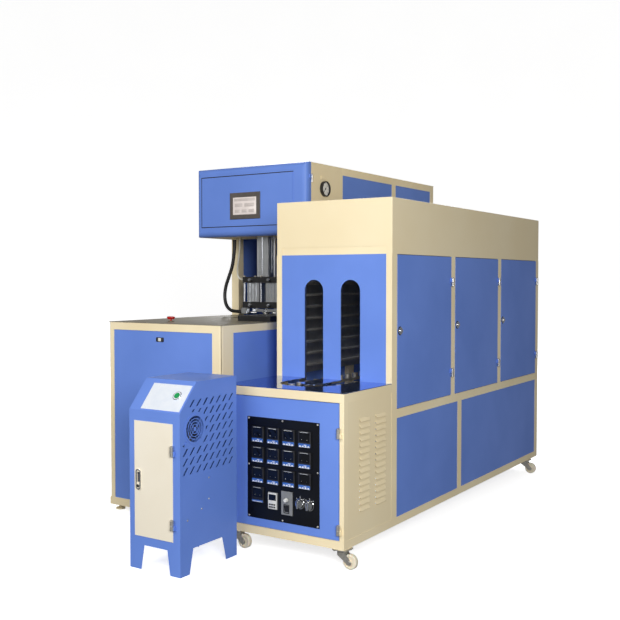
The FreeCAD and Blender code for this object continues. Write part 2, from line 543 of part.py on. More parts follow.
# ---------------------------------------------------------------- press frame and covers
def press():
    """Table, tall body and overhead box of the press: frame, panels, table top and box."""
    rail = 40.0
    low, base = PRESS_FOOT, PRESS_FOOT + rail
    body_x0, body_x1 = HX0, HX1
    post = 50.0
    plate_z = TABLE_TOP - 3
    # table: two folded front columns, rails round the foot and the top
    left_column, right_column, column_d = TX0 + COLUMN_LEFT_W, TX1 - COLUMN_RIGHT_W, COLUMN_D
    for x0, x1, outer in ((TX0, left_column, TX0), (right_column, TX1, TX1)):
        column = block(x0, x1, TABLE_FRONT, TABLE_FRONT + column_d, base, plate_z)
        column = rounded(column, 14, lambda c, e: abs(c.x - outer) < 0.1 and abs(c.y - TABLE_FRONT) < 0.1)
        hollow = block(x0 + 3, x1 - 3, TABLE_FRONT + 3, TABLE_FRONT + column_d - 3, base, plate_z)
        add("press_frame", column.cut(hollow))
    for z0, z1 in ((low, base), (plate_z - 37, plate_z)):
        front_x = (TX0, TX1) if z0 == low else (left_column, right_column)
        add("press_frame", tube(*front_x, TABLE_FRONT, TABLE_FRONT + rail, z0, z1))
        if z0 == low:
            end_plugs("press_frame", *front_x, TABLE_FRONT, TABLE_FRONT + rail, z0, z1)
        side_y = TABLE_FRONT + rail if z0 == low else TABLE_FRONT + column_d
        add("press_frame", tube(TX0, TX0 + rail, side_y, BODY_FRONT, z0, z1))
        add("press_frame", tube(TX1 - rail, TX1, side_y, BODY_FRONT, z0, z1))
    # tall body
    top = PRESS_TOP - SHEET
    middle = BODY_FRONT + 652.0
    for x0 in (body_x0 + SHEET, body_x1 - SHEET - post):
        add("press_frame", tube(x0, x0 + post, BODY_FRONT, PRESS_REAR - SHEET, low, base))
        for y in (BODY_FRONT, middle, PRESS_REAR - SHEET - post):
            add("press_frame", tube(x0, x0 + post, y, y + post, base, top - rail))
        add("press_frame", tube(x0, x0 + post, HEAD_FRONT + HEAD_DOOR_D + 2, PRESS_REAR - SHEET, top - rail, top))
        end_plugs("press_frame", x0, x0 + post, BODY_FRONT, PRESS_REAR - SHEET, low, base)
        end_plugs("press_frame", x0, x0 + post, HEAD_FRONT + HEAD_DOOR_D + 2, PRESS_REAR - SHEET, top - rail, top)
    inner = (body_x0 + SHEET + post, body_x1 - SHEET - post)
    for y in (BODY_FRONT, PRESS_REAR - SHEET - post):
        add("press_frame", tube(*inner, y, y + post, top - rail, top))
    add("press_frame", tube(*inner, PRESS_REAR - SHEET - post, PRESS_REAR - SHEET, low, base))
    # beam in the box that the stretch cylinder hangs from
    add("press_frame", tube(body_x0 + SHEET, body_x1 - SHEET, HEAD_Y - 40, HEAD_Y + 40, BEAM_Z, BEAM_Z + 60))
    for x, y in ((TX0 + 30, TABLE_FRONT + 45), (TX1 - 30, TABLE_FRONT + 45), (TX0 + 30, PRESS_REAR - 60),
                 (TX1 - 30, PRESS_REAR - 60), (TX0 + 22, 1200), (TX1 - 22, 1200)):
        add("press_frame", rod(24, (x, y, 0), (x, y, 8)).fuse(rod(8, (x, y, 0), (x, y, low))))

    # blue panels
    add("press_panels", tray(left_column + 1, right_column - 1, TABLE_FRONT + 1, TABLE_FRONT + 15, base,
                             plate_z - 38, "+y"))
    for x0 in (TX0 + 1, TX1 - 1 - SHEET):
        add("press_panels", block(x0, x0 + SHEET, TABLE_FRONT + column_d, BODY_FRONT, base, plate_z - 37))
    for x0 in (body_x0 + 4, body_x1 - 4 - SHEET):
        for y0, y1 in ((BODY_FRONT + post, middle), (middle + post, PRESS_REAR - SHEET - post)):
            add("press_panels", block(x0, x0 + SHEET, y0, y1, base, top - rail))
    add("press_panels", block(*inner, PRESS_REAR - 6, PRESS_REAR - 4, base, top - rail))

    # table top with the mould's opening, and the emergency stop's collar
    plate = block(TX0, TX1, TABLE_FRONT, BODY_FRONT, plate_z, TABLE_TOP)
    mouth = block(HEAD_X - MOULD_W / 2 - 4, HEAD_X + MOULD_W / 2 + 4, HEAD_Y - MOULD_D - 4, BODY_FRONT,
                  plate_z, TABLE_TOP)
    stop = (ESTOP_X, ESTOP_Y)
    plate = plate.cut(mouth).cut(rod(11, (*stop, plate_z - 1), (*stop, TABLE_TOP + 1)))
    collar = rod(17, (*stop, TABLE_TOP), (*stop, TABLE_TOP + 5)).fuse(rod(11, (*stop, plate_z - 30), (*stop, TABLE_TOP)))
    add("press_table", plate, collar.cut(rod(5 + RUN, (*stop, plate_z - 31), (*stop, TABLE_TOP + 6))))
    button = rod(5, (*stop, plate_z - 34), (*stop, TABLE_TOP + 12))
    cap = Part.makeCone(16, 21, 8, V(*stop, TABLE_TOP + 12), V(0, 0, 1))
    cap = cap.fuse(rod(21, (*stop, TABLE_TOP + 20), (*stop, TABLE_TOP + 27)))
    cap = rounded(cap, 5, lambda c, e: c.z > TABLE_TOP + 26.9)
    add("emergency_stop", button.fuse(cap))

    # overhead box: side cheeks, floor with the head's opening, roof over the whole body
    back = HEAD_FRONT + HEAD_DOOR_D + 2
    for x0 in (body_x0, body_x1 - SHEET):
        cheek = block(x0, x0 + SHEET, back, BODY_FRONT, HEAD_FLOOR, top)
        if x0 > HEAD_X:
            cheek = cheek.cut(rod(30, (x0 - 1, GAUGE_Y, GAUGE_Z), (x0 + 5, GAUGE_Y, GAUGE_Z)))
        add("head_housing", cheek)
        add("head_housing", block(x0, x0 + SHEET, BODY_FRONT, BODY_FRONT + post - 10, TABLE_TOP, top))
    floor = block(body_x0 + SHEET, body_x1 - SHEET, back, BODY_FRONT, HEAD_FLOOR, HEAD_FLOOR + SHEET)
    floor = floor.cut(block(HEAD_X - 80, HEAD_X + 80, HEAD_Y - 50, HEAD_Y + 50, HEAD_FLOOR, HEAD_FLOOR + SHEET))
    for (gx, gy), gr in ((HOSE_TOP, HOSE_R), (TUBES_TOP, TUBE_R)):
        floor = floor.cut(rod(gr + 4, (gx, gy, HEAD_FLOOR - 1), (gx, gy, HEAD_FLOOR + 5)))
        gland = pipe(gr + 4, gr, (gx, gy, HEAD_FLOOR - 10), (gx, gy, HEAD_FLOOR + 10))
        add("head_housing", gland.fuse(pipe(gr + 9, gr + 3, (gx, gy, HEAD_FLOOR - 7), (gx, gy, HEAD_FLOOR))))
    add("head_housing", floor)
    add("head_housing", block(body_x0, body_x1, back, PRESS_REAR, top, PRESS_TOP))
    for x0 in (body_x0 + SHEET, body_x1 - SHEET - 3):
        add("head_housing", block(x0, x0 + 3, back, back + 3, HEAD_FLOOR + SHEET, top - rail))
    bars = block(body_x1, body_x1 + 3, GAUGE_Y - 31, GAUGE_Y + 31, 1754, 1771)
    add("head_housing", bars)


# ---------------------------------------------------------------- box door, screen and gauge
def head_front():
    """The box's deep front door with its touch screen, and the pressure gauge on the side."""
    y0, y1 = HEAD_FRONT, HEAD_FRONT + HEAD_DOOR_D
    door = block(HX0, HX1, y0, y1, HEAD_FLOOR, PRESS_TOP)
    door = rounded(door, HEAD_DOOR_R, lambda c, e: c.y < y0 + 0.1)
    door = door.cut(door_room(y0, y1))
    gx0, gx1, gz0, gz1 = HX0 + 36, HX1 - 85, HEAD_FLOOR + 54, PRESS_TOP - 47
    line = HEAD_GROOVE
    ring = block(gx0, gx1, y0 - 1, y0 + HEAD_GROOVE_D, gz0, gz1)
    ring = ring.cut(block(gx0 + line, gx1 - line, y0 - 1, y0 + HEAD_GROOVE_D, gz0 + line, gz1 - line))
    sx0, sx1, sz0, sz1 = SCREEN
    cut = block(sx0 + 10, sx1 - 10, y0, y1, sz0 + 10, sz1 - 10)
    door = door.cut(ring).cut(cut)
    px, py = HX1 + HEAD_HINGE_OUT, HEAD_FRONT + HEAD_DOOR_D + 1
    for z in (HEAD_FLOOR + 60, PRESS_TOP - 110):
        split, high = z + 21, z + 42
        knuckle = rod(5, (px, py, split + 0.5), (px, py, high))
        knuckle = knuckle.fuse(block(HX1, px, py - 22, py - 1, split + 0.5, high))
        door = door.fuse(knuckle).cut(rod(2.5 + RUN, (px, py, split), (px, py, high + 1)))
        pin = rod(2.5, (px, py, z), (px, py, high + 2))
        wall = rod(5, (px, py, z), (px, py, split))
        wall = wall.fuse(block(HX1, px, py + 1, py + 22, z, split))
        add("press_frame", wall.cut(pin))
        add("hinge_pins", pin)
    add("head_door", door)
    screen = rounded(block(sx0, sx1, y0 - 6, y0, sz0, sz1), 3, lambda c, e: c.y < y0 - 5.9)
    screen = screen.cut(block(sx0 + 22, sx1 - 24, y0 - 6, y0 - 4.5, sz0 + 24, sz1 - 26))
    add("touch_screen", screen.fuse(block(sx0 + 10, sx1 - 10, y0, y0 + 35, sz0 + 10, sz1 - 10)))

    # gauge: case through the cheek, hollow face, and a needle on a spindle
    x = HX1
    case = rod(42, (x, GAUGE_Y, GAUGE_Z), (x + 18, GAUGE_Y, GAUGE_Z)).fuse(
        rod(30, (x - 30, GAUGE_Y, GAUGE_Z), (x, GAUGE_Y, GAUGE_Z)))
    case = case.cut(rod(38, (x + 8, GAUGE_Y, GAUGE_Z), (x + 18, GAUGE_Y, GAUGE_Z)))
    case = case.cut(rod(1.5 + RUN, (x - 5, GAUGE_Y, GAUGE_Z), (x + 9, GAUGE_Y, GAUGE_Z)))
    add("pressure_gauge", case)
    needle = rod(1.5, (x - 4, GAUGE_Y, GAUGE_Z), (x + 11, GAUGE_Y, GAUGE_Z))
    needle = needle.fuse(rod(4, (x + 10, GAUGE_Y, GAUGE_Z), (x + 12, GAUGE_Y, GAUGE_Z)))
    outline = [(x + 10, GAUGE_Y - 1.5, GAUGE_Z + 10), (x + 10, GAUGE_Y + 1.5, GAUGE_Z + 10),
               (x + 10, GAUGE_Y + 0.6, GAUGE_Z - 31), (x + 10, GAUGE_Y - 0.6, GAUGE_Z - 31)]
    needle = needle.fuse(prism(outline, (1.5, 0, 0)))
    needle.rotate(V(x, GAUGE_Y, GAUGE_Z), V(1, 0, 0), -40)
    add("gauge_needle", needle)


def door_room(y0, y1):
    """The hollow inside the box's pressed front door."""
    skin = HEAD_SKIN
    room = block(HX0 + skin, HX1 - skin, y0 + skin, y1, HEAD_FLOOR + skin, PRESS_TOP - skin)
    return rounded(room, HEAD_DOOR_R - skin, lambda c, e: c.y < y0 + skin + 0.1)


# ---------------------------------------------------------------- blowing head, mould and clamp
def blowing_head():
    """Sealing cylinders between black end plates, nozzle bar, stretch cylinder and stretch rod."""
    cap_low, tube_low, tube_high, cap_high = 1037.0, 1072.0, 1182.0, 1216.0
    xs = (HEAD_X - SEAL_PITCH / 2, HEAD_X + SEAL_PITCH / 2)
    half, bolt = SEAL_PLATE, SEAL_PLATE - 8
    for z0, z1 in ((cap_low, tube_low), (tube_high, cap_high)):
        plate = block(xs[0] - half, xs[1] + half, HEAD_Y - half, HEAD_Y + half, z0, z1)
        if z0 == cap_low:
            for x in xs:
                plate = plate.cut(rod(11 + RUN, (x, HEAD_Y, z0 - 1), (x, HEAD_Y, z1 + 1)))
        plate = plate.cut(rod(7 + RUN, (HEAD_X, HEAD_Y, z0 - 1), (HEAD_X, HEAD_Y, z1 + 1)))
        plate = rounded(plate, 3, lambda c, e: abs(c.z - (z0 + z1) / 2) < 0.1 and abs(c.x - HEAD_X) > SEAL_PITCH / 2)
        add("mould_clamp", plate)
    for x in xs:
        body = block(x - SEAL_BODY / 2, x + SEAL_BODY / 2, HEAD_Y - SEAL_BODY / 2, HEAD_Y + SEAL_BODY / 2,
                     tube_low, tube_high)
        for dx in (-22, 0, 22):
            slot_x = x + dx
            for face_y in (HEAD_Y - SEAL_BODY / 2, HEAD_Y + SEAL_BODY / 2):
                body = body.cut(block(slot_x - 3, slot_x + 3, face_y - 3, face_y + 3, tube_low, tube_high))
        add("seal_cylinders", body.cut(rod(SEAL_BORE_R, (x, HEAD_Y, tube_low), (x, HEAD_Y, tube_high))))
    for x in (xs[0] - bolt, HEAD_X, xs[1] + bolt):
        for y in (HEAD_Y - bolt, HEAD_Y + bolt):
            add("seal_cylinders", rod(6, (x, y, tube_low), (x, y, tube_high)))
    # elbow under the lower plate that the air hose screws into, and the tube's fitting on the upper one
    x, y, z = HOSE_END
    elbow = block(x, x + 36, y - 17, y + 17, z - 14, cap_low)
    add("seal_cylinders", rounded(elbow, 4, lambda c, e: c.z < z - 13.9))
    x, y, z = TUBES_END
    add("seal_cylinders", rod(8, (x, y, z), (xs[0] - half, y, z)))
    # nozzle bar with two piston rods and a hollow nozzle
    bar = block(xs[0] - 20, xs[1] + 20, HEAD_Y - 20, HEAD_Y + 20, 1014, 1030)
    nozzle = rod(24, (HEAD_X, HEAD_Y, NOZZLE_LOW + 8), (HEAD_X, HEAD_Y, 1014))
    nozzle = nozzle.fuse(rod(18, (HEAD_X, HEAD_Y, NOZZLE_LOW), (HEAD_X, HEAD_Y, NOZZLE_LOW + 8)))
    port = rod(6, (HEAD_X, HEAD_Y - 20, 1022), (HEAD_X, HEAD_Y - 36, 1022))
    nozzle = nozzle.fuse(bar).fuse(port)
    for x in xs:
        nozzle = nozzle.fuse(rod(11, (x, HEAD_Y, 1014), (x, HEAD_Y, tube_low + 40)))
        nozzle = nozzle.fuse(rod(SEAL_BORE_R - RUN, (x, HEAD_Y, tube_low + 40), (x, HEAD_Y, tube_low + 60)))
    nozzle = nozzle.cut(rod(7 + RUN, (HEAD_X, HEAD_Y, NOZZLE_LOW - 1), (HEAD_X, HEAD_Y, 1031)))
    add("blow_nozzle", nozzle)
    # stretch cylinder: square profile on the upper plate, guided by two posts, hung from the beam
    body = block(HEAD_X - 35, HEAD_X + 35, HEAD_Y - 35, HEAD_Y + 35, cap_high, BEAM_Z)
    groove = 5.0
    for dx, dy in ((1, 0), (-1, 0), (0, 1), (0, -1)):
        gx, gy = HEAD_X + dx * 33, HEAD_Y + dy * 33
        body = body.cut(block(gx - 2 - abs(dy) * groove, gx + 2 + abs(dy) * groove,
                              gy - 2 - abs(dx) * groove, gy + 2 + abs(dx) * groove, cap_high + 20, BEAM_Z - 20))
    body = body.cut(rod(20, (HEAD_X, HEAD_Y, cap_high), (HEAD_X, HEAD_Y, BEAM_Z - 12)))
    add("stretch_cylinder", body)
    for dx in (-58, 58):
        add("stretch_cylinder", rod(9, (HEAD_X + dx, HEAD_Y, cap_high), (HEAD_X + dx, HEAD_Y, BEAM_Z)))
    rod_low = NOZZLE_LOW + 12
    piston_low = cap_high + STRETCH_STROKE + 22
    stretch = rod(7, (HEAD_X, HEAD_Y, rod_low), (HEAD_X, HEAD_Y, piston_low))
    piston = rod(20 - RUN, (HEAD_X, HEAD_Y, piston_low), (HEAD_X, HEAD_Y, piston_low + 20))
    add("stretch_rod", stretch.fuse(piston))


def mould():
    """Two mould halves on platens, four tie bars, bulkheads, clamp cylinders and the air manifold."""
    z0, z1 = MOULD_TOP - MOULD_H, MOULD_TOP
    platen_x, platen_z0, platen_z1 = 230.0, z0 - 30, MOULD_TOP - 40
    bars = [(sx * 195, z) for sx in (-1, 1) for z in (platen_z0 + 45, platen_z1 - 45)]
    cavity = rod(CAVITY_R, (HEAD_X, HEAD_Y, z0 + 25), (HEAD_X, HEAD_Y, z1 - 130))
    shoulder = Part.makeCone(CAVITY_R, 28, 80, V(HEAD_X, HEAD_Y, z1 - 130), V(0, 0, 1))
    neck = rod(28, (HEAD_X, HEAD_Y, z1 - 50), (HEAD_X, HEAD_Y, z1))
    cavity = cavity.fuse(shoulder).fuse(neck)
    reach = MOULD_D + 40
    front_face = HEAD_Y - reach - MOULD_STROKE - 40
    rear_face = HEAD_Y + reach + MOULD_STROKE + 40
    for name, side in (("mould_front", -1), ("mould_rear", 1)):
        near = HEAD_Y + side * PARTING / 2
        far = HEAD_Y + side * MOULD_D
        half = block(HEAD_X - MOULD_W / 2, HEAD_X + MOULD_W / 2, near, far, z0, z1).cut(cavity)
        platen = block(HEAD_X - platen_x, HEAD_X + platen_x, far, far + side * 40, platen_z0, platen_z1)
        for dx, z in bars:
            platen = platen.cut(rod(20 + RUN, (HEAD_X + dx, far - side, z), (HEAD_X + dx, far + side * 41, z)))
        end = far + side * (40 + MOULD_STROKE + 40 + 25 + 60)
        ram_z = (z0 + z1) / 2
        ram = rod(30, (HEAD_X, far + side * 40, ram_z), (HEAD_X, end, ram_z))
        add(name, half, platen, ram)
        wall = front_face if side < 0 else rear_face
        head = block(TX0 + 5, TX1 - 5, wall, wall + side * 25, PRESS_FOOT + 40, platen_z1)
        head = head.cut(rod(30 + RUN, (HEAD_X, wall - side, ram_z), (HEAD_X, wall + side * 26, ram_z)))
        cylinder = pipe(90, 80, (HEAD_X, wall + side * 25, ram_z), (HEAD_X, wall + side * 225, ram_z))
        lid = rod(90, (HEAD_X, wall + side * 225, ram_z), (HEAD_X, wall + side * 240, ram_z))
        add("mould_clamp", head, cylinder, lid)
    for dx, z in bars:
        add("mould_clamp", rod(20, (HEAD_X + dx, front_face, z), (HEAD_X + dx, rear_face, z)))
    manifold = block(HEAD_X + MANIFOLD_OUT, TX1 - 10, MANIFOLD_Y0, MANIFOLD_Y1, TABLE_TOP, TABLE_TOP + MANIFOLD_H)
    add("mould_clamp", rounded(manifold, 3, lambda c, e: c.z > TABLE_TOP + MANIFOLD_H - 0.1))


# ---------------------------------------------------------------- air hose and tubes
HOSE_END = (-1292.0, 1013.0, 1014.0)
TUBES_END = (-1324.0, 1075.0, 1199.0)
HOSE_ROUTE = [
    (*HOSE_TOP, HEAD_FLOOR + 20), (*HOSE_TOP, 1395.0), (-1387.0, 1048.0, 1335.0), (-1396.0, 1045.0, 1275.0),
    (-1418.0, 1042.0, 1218.0), (-1441.0, 1039.0, 1160.0), (-1447.0, 1035.0, 1100.0),
    (-1430.0, 1028.0, 1047.0), (-1389.0, 1019.0, 1018.0), (-1343.0, 1013.0, 1014.0), HOSE_END]
TUBES_ROUTE = [
    (*TUBES_TOP, HEAD_FLOOR + 20), (*TUBES_TOP, 1395.0), (-1386.0, 1098.0, 1336.0),
    (-1392.0, 1091.0, 1280.0), (-1388.0, 1083.0, 1234.0), (-1364.0, 1075.0, 1199.0), TUBES_END]


def cord(points, radius):
    """A tube along straight runs joined by tangent arcs; returns the solid and its least bend."""
    pts = [V(*p) for p in points]
    edges, start, least = [], pts[0], 1e9
    for a, b, c in zip(pts, pts[1:], pts[2:]):
        u, w = (b - a).normalize(), (c - b).normalize()
        turn = u.getAngle(w)
        cut = 0.45 * min((b - a).Length, (c - b).Length)
        bend = cut / math.tan(turn / 2)
        least = min(least, bend)
        p, q = b - u * cut, b + w * cut
        inward = (w - u).normalize()
        centre = b + inward * (bend / math.cos(turn / 2))
        edges.append(Part.LineSegment(start, p).toShape())
        edges.append(Part.Arc(p, centre - inward * bend, q).toShape())
        start = q
    edges.append(Part.LineSegment(start, pts[-1]).toShape())
    path = Part.Wire(edges)
    circle = Part.Wire(Part.Circle(pts[0], pts[1] - pts[0], radius).toShape())
    solid = path.makePipeShell([circle], True, False)
    error = solid.Volume / (math.pi * radius ** 2 * path.Length) - 1
    print("cord radius %.1f: length %.0f, least bend %.0f, volume error %.4f" % (radius, path.Length, least, error))
    return solid


def air_lines():
    """Black blow-air hose from the box to the nozzle bar, and a thin white tube to the head."""
    add("air_hose", cord(HOSE_ROUTE, HOSE_R))
    add("air_tubes", cord(TUBES_ROUTE, TUBE_R))


# ---------------------------------------------------------------- drive cabinet
def cabinet():
    """Small sheet cabinet on four folded legs, with its door, fascia, start button and fan."""
    x0, x1, y0, y1 = CAB_X0, CAB_X1, CAB_Y0, CAB_Y1
    rise = CAB_TOP - CAB_EDGE
    side_outline = [(y0, 0), (y0 + 57, 0), (y0 + 80, CAB_LEG), (y1 - 100, CAB_LEG), (y1 - 73, 0), (y1, 0),
                    (y1, CAB_TOP), (y0 + CAB_SLANT, CAB_TOP), (y0, CAB_EDGE)]
    for x in (x0, x1 - SHEET):
        wall = prism([(x, y, z) for y, z in side_outline], (SHEET, 0, 0))
        if x > x0:
            wall = wall.cut(rod(FAN_R, (x - 1, FAN_Y, FAN_Z), (x + 3, FAN_Y, FAN_Z)))
            wall = wall.cut(Part.makeCompound(vents(x)))
        add("cabinet_body", wall)
    inner = (x0 + SHEET, x1 - SHEET)
    legs = [(inner[0], 0), (x0 + 62, 0), (x0 + 80, CAB_LEG), (x1 - 70, CAB_LEG), (x1 - 55, 0), (inner[1], 0)]
    front = prism([(x, y0, z) for x, z in legs + [(inner[1], CAB_EDGE), (inner[0], CAB_EDGE)]], (0, SHEET, 0))
    front = front.cut(block(CAB_DOOR_X0 + 3, CAB_DOOR_X1 - 3, y0, y0 + SHEET, CAB_DOOR_Z0 + 3, CAB_DOOR_Z1 - 3))
    rear = prism([(x, y1 - SHEET, z) for x, z in legs + [(inner[1], CAB_TOP - SHEET), (inner[0], CAB_TOP - SHEET)]],
                 (0, SHEET, 0))
    tilt = math.atan2(rise, CAB_SLANT)
    back_y, back_z = SHEET * math.sin(tilt), SHEET * math.cos(tilt)
    slant = prism([(inner[0], y0, CAB_EDGE), (inner[0], y0 + CAB_SLANT, CAB_TOP),
                   (inner[0], y0 + CAB_SLANT + back_y, CAB_TOP - back_z), (inner[0], y0 + back_y, CAB_EDGE - back_z)],
                  (inner[1] - inner[0], 0, 0))
    slant = slant.cut(block(*inner, y0, y0 + SHEET, 0, CAB_EDGE))
    top = block(*inner, y0 + CAB_SLANT, y1, CAB_TOP - SHEET, CAB_TOP).cut(slant)
    deck = block(*inner, y0 + SHEET, y1 - SHEET, CAB_LEG + 4, CAB_LEG + 4 + SHEET)
    add("cabinet_body", front, rear, top, deck)

    # fascia on the slanted panel, with the start button through it
    along = V(0, math.cos(tilt), math.sin(tilt))
    normal = V(0, -math.sin(tilt), math.cos(tilt))
    run = math.hypot(rise, CAB_SLANT)
    foot = V(0, y0, CAB_EDGE)

    def on_slant(x, s, out):
        p = foot + along * s + normal * out
        return (x, p.y, p.z)

    fascia_x0, fascia_x1 = x0 + 60, x1 - 8
    outline = [on_slant(fascia_x0, 8, 0), on_slant(fascia_x1, 8, 0), on_slant(fascia_x1, run - 24, 0),
               on_slant(fascia_x0, run - 24, 0)]
    fascia = prism(outline, tuple(normal * 1.5))
    button_at = (BUTTON_X, BUTTON_S)
    bore = rod(BUTTON_R + 2, on_slant(*button_at, -5), on_slant(*button_at, 5))
    add("cabinet_body", slant.cut(bore))
    collar = pipe(BUTTON_R + 7, BUTTON_R + RUN, on_slant(*button_at, 1.5), on_slant(*button_at, 6))
    sleeve = pipe(BUTTON_R + 2, BUTTON_R + RUN, on_slant(*button_at, -25), on_slant(*button_at, 1.5))
    add("cabinet_fascia", fascia.cut(bore), collar.fuse(sleeve))
    button = rod(BUTTON_R, on_slant(*button_at, -20), on_slant(*button_at, 10))
    button_top = V(*on_slant(*button_at, 10))
    add("start_button", rounded(button, 2.5, lambda c, e: (c - button_top).Length < 1))

    # front door with recessed handle and lock
    door = tray(CAB_DOOR_X0, CAB_DOOR_X1, y0 - PROUD, y0 - 0.3, CAB_DOOR_Z0, CAB_DOOR_Z1, "+y", 1.5)
    door = door.fuse(block(CAB_DOOR_X0 + 6, CAB_DOOR_X1 - 6, y0 - 0.3, y0 + 12, CAB_DOOR_Z0 + 6, CAB_DOOR_Z1 - 6).cut(
        block(CAB_DOOR_X0 + 7.5, CAB_DOOR_X1 - 7.5, y0 - 0.3, y0 + 12, CAB_DOOR_Z0 + 7.5, CAB_DOOR_Z1 - 7.5)))
    hx, hz0, hz1 = CAB_DOOR_X0 + 24, 333.0, 419.0
    door = door.cut(block(hx - 10, hx + 10, y0 - 3, y0 + 2, hz0 + 10, hz1 - 10))
    for z in (CAB_DOOR_Z0 + 50, CAB_DOOR_Z1 - 130):
        wall, half, pin = barrel_hinge(CAB_DOOR_X1 + GAP / 2, y0 - HINGE_OUT, z, V(0, -1, 0), V(-1, 0, 0))
        add("cabinet_body", wall)
        add("hinge_pins", pin)
        door = door.fuse(half)
    add("cabinet_door", door)
    frame = rounded(block(hx - 14, hx + 14, y0 - PROUD - 4, y0 - PROUD, hz0, hz1), 12,
                    lambda c, e: abs(c.y - y0 + PROUD + 2) < 0.1)
    frame = frame.cut(block(hx - 8, hx + 8, y0 - PROUD - 4, y0, hz0 + 32, hz1 - 12))
    key = (hx, hz0 + 16)
    frame = frame.cut(rod(7 + RUN, (key[0], y0 - 8, key[1]), (key[0], y0, key[1])))
    door_key = rod(7 + RUN, (key[0], y0 - 3, key[1]), (key[0], y0 + 4, key[1]))
    NODES["cabinet_door"] = [door.cut(door_key), frame]
    lock = rod(7, (key[0], y0 - PROUD - 6, key[1]), (key[0], y0 + 18, key[1]))
    lock = lock.fuse(block(key[0] - 6, key[0] + 6, y0 + 14, y0 + 17, key[1] - 28, key[1] + 6))
    lock = lock.cut(block(key[0] - 0.8, key[0] + 0.8, y0 - 8.1, y0 - 4, key[1] - 5, key[1] + 5))
    add("cabinet_handle", lock)

    # fan: guard rings on the side, square housing inside, and the rotor
    guard = pipe(FAN_R + 5, FAN_R - 3, (x1, FAN_Y, FAN_Z), (x1 + 2.5, FAN_Y, FAN_Z))
    for r in (43.0, 31.0, 19.0):
        guard = guard.fuse(pipe(r + 1.5, r - 1.5, (x1, FAN_Y, FAN_Z), (x1 + 2.5, FAN_Y, FAN_Z)))
    guard = guard.fuse(rod(8, (x1, FAN_Y, FAN_Z), (x1 + 2.5, FAN_Y, FAN_Z)))
    for turn in (45, 135):
        spoke = block(x1, x1 + 2.5, FAN_Y - FAN_R, FAN_Y + FAN_R, FAN_Z - 1, FAN_Z + 1)
        spoke.rotate(V(x1, FAN_Y, FAN_Z), V(1, 0, 0), turn)
        guard = guard.fuse(spoke)
    add("cabinet_body", guard.removeSplitter())
    inside = x1 - SHEET
    housing = block(inside - 38, inside, FAN_Y - 60, FAN_Y + 60, FAN_Z - 60, FAN_Z + 60)
    housing = housing.cut(rod(56, (inside - 39, FAN_Y, FAN_Z), (inside + 1, FAN_Y, FAN_Z)))
    bridge = block(inside - 38, inside - 34, FAN_Y - 57, FAN_Y + 57, FAN_Z - 5, FAN_Z + 5)
    housing = housing.fuse(bridge).fuse(rod(17, (inside - 38, FAN_Y, FAN_Z), (inside - 30, FAN_Y, FAN_Z)))
    housing = housing.fuse(rod(4, (inside - 30, FAN_Y, FAN_Z), (inside - 10, FAN_Y, FAN_Z)))
    add("cabinet_body", housing)
    rotor = rod(20, (inside - 29, FAN_Y, FAN_Z), (inside - 7, FAN_Y, FAN_Z))
    blade = Part.makeBox(2, 34, 16, V(inside - 19, FAN_Y + 18, FAN_Z - 8))
    blade.rotate(V(inside - 18, FAN_Y + 18, FAN_Z), V(0, 1, 0), 38)
    for k in range(7):
        copy = blade.copy()
        copy.rotate(V(0, FAN_Y, FAN_Z), V(1, 0, 0), 360.0 * k / 7)
        rotor = rotor.fuse(copy)
    add("cabinet_fan", rotor.cut(rod(4 + RUN, (inside - 31, FAN_Y, FAN_Z), (inside - 9.5, FAN_Y, FAN_Z))))


def vents(x):
    """Slanting slots in straight rows, cut short round the fan and left out above the slanted panel."""
    cutters = []
    clear = rod(FAN_R + VENT_FAN_MARGIN, (x - 2, FAN_Y, FAN_Z), (x + SHEET + 2, FAN_Y, FAN_Z))
    for row in range(VENT_ROWS):
        z = VENT_Z + VENT_PITCH_Z * row
        for column in range(VENT_COLUMNS):
            y = CAB_Y0 + VENT_Y + VENT_PITCH_Y * column
            slant_z = CAB_EDGE + (y - VENT_RUN - CAB_Y0) * (CAB_TOP - CAB_EDGE) / CAB_SLANT
            if z > slant_z - VENT_EDGE_MARGIN:
                continue
            slot = prism([(x - 1, y - VENT_RUN, z - VENT_RISE), (x - 1, y - VENT_RUN + VENT_W, z - VENT_RISE),
                          (x - 1, y + VENT_RUN, z + VENT_RISE), (x - 1, y + VENT_RUN - VENT_W, z + VENT_RISE)],
                         (SHEET + 2, 0, 0))
            part = slot.cut(clear)
            if part.Volume > slot.Volume * 0.3:
                cutters.append(part)
    return cutters


# ---------------------------------------------------------------- build and write
def build():
    """Make every node and move the machine so that its footprint's middle is the origin."""
    for make in (oven_frame, oven_covers, oven_doors, console, castors, tunnel, press, head_front,
                 blowing_head, mould, air_lines, cabinet):
        make()
    os.makedirs("parts", exist_ok=True)
    for name, solids in NODES.items():
        flat = [piece for shape in solids for piece in shape.Solids]
        shape = flat[0] if len(flat) == 1 else Part.makeCompound(flat)
        shape.translate(-ORIGIN)
        shape.exportStep("parts/" + name + ".step")
    print(len(NODES), "nodes")


build()
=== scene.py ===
"""Looks of a two-step blow moulding machine: enamel, metals, glass, instruments and studio.

Every length is in metres in the machine's own frame: +Z up, +X to the operator's right, +Y to the
rear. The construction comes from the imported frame; this file adds finishes and surface detail.
"""
import json
import math

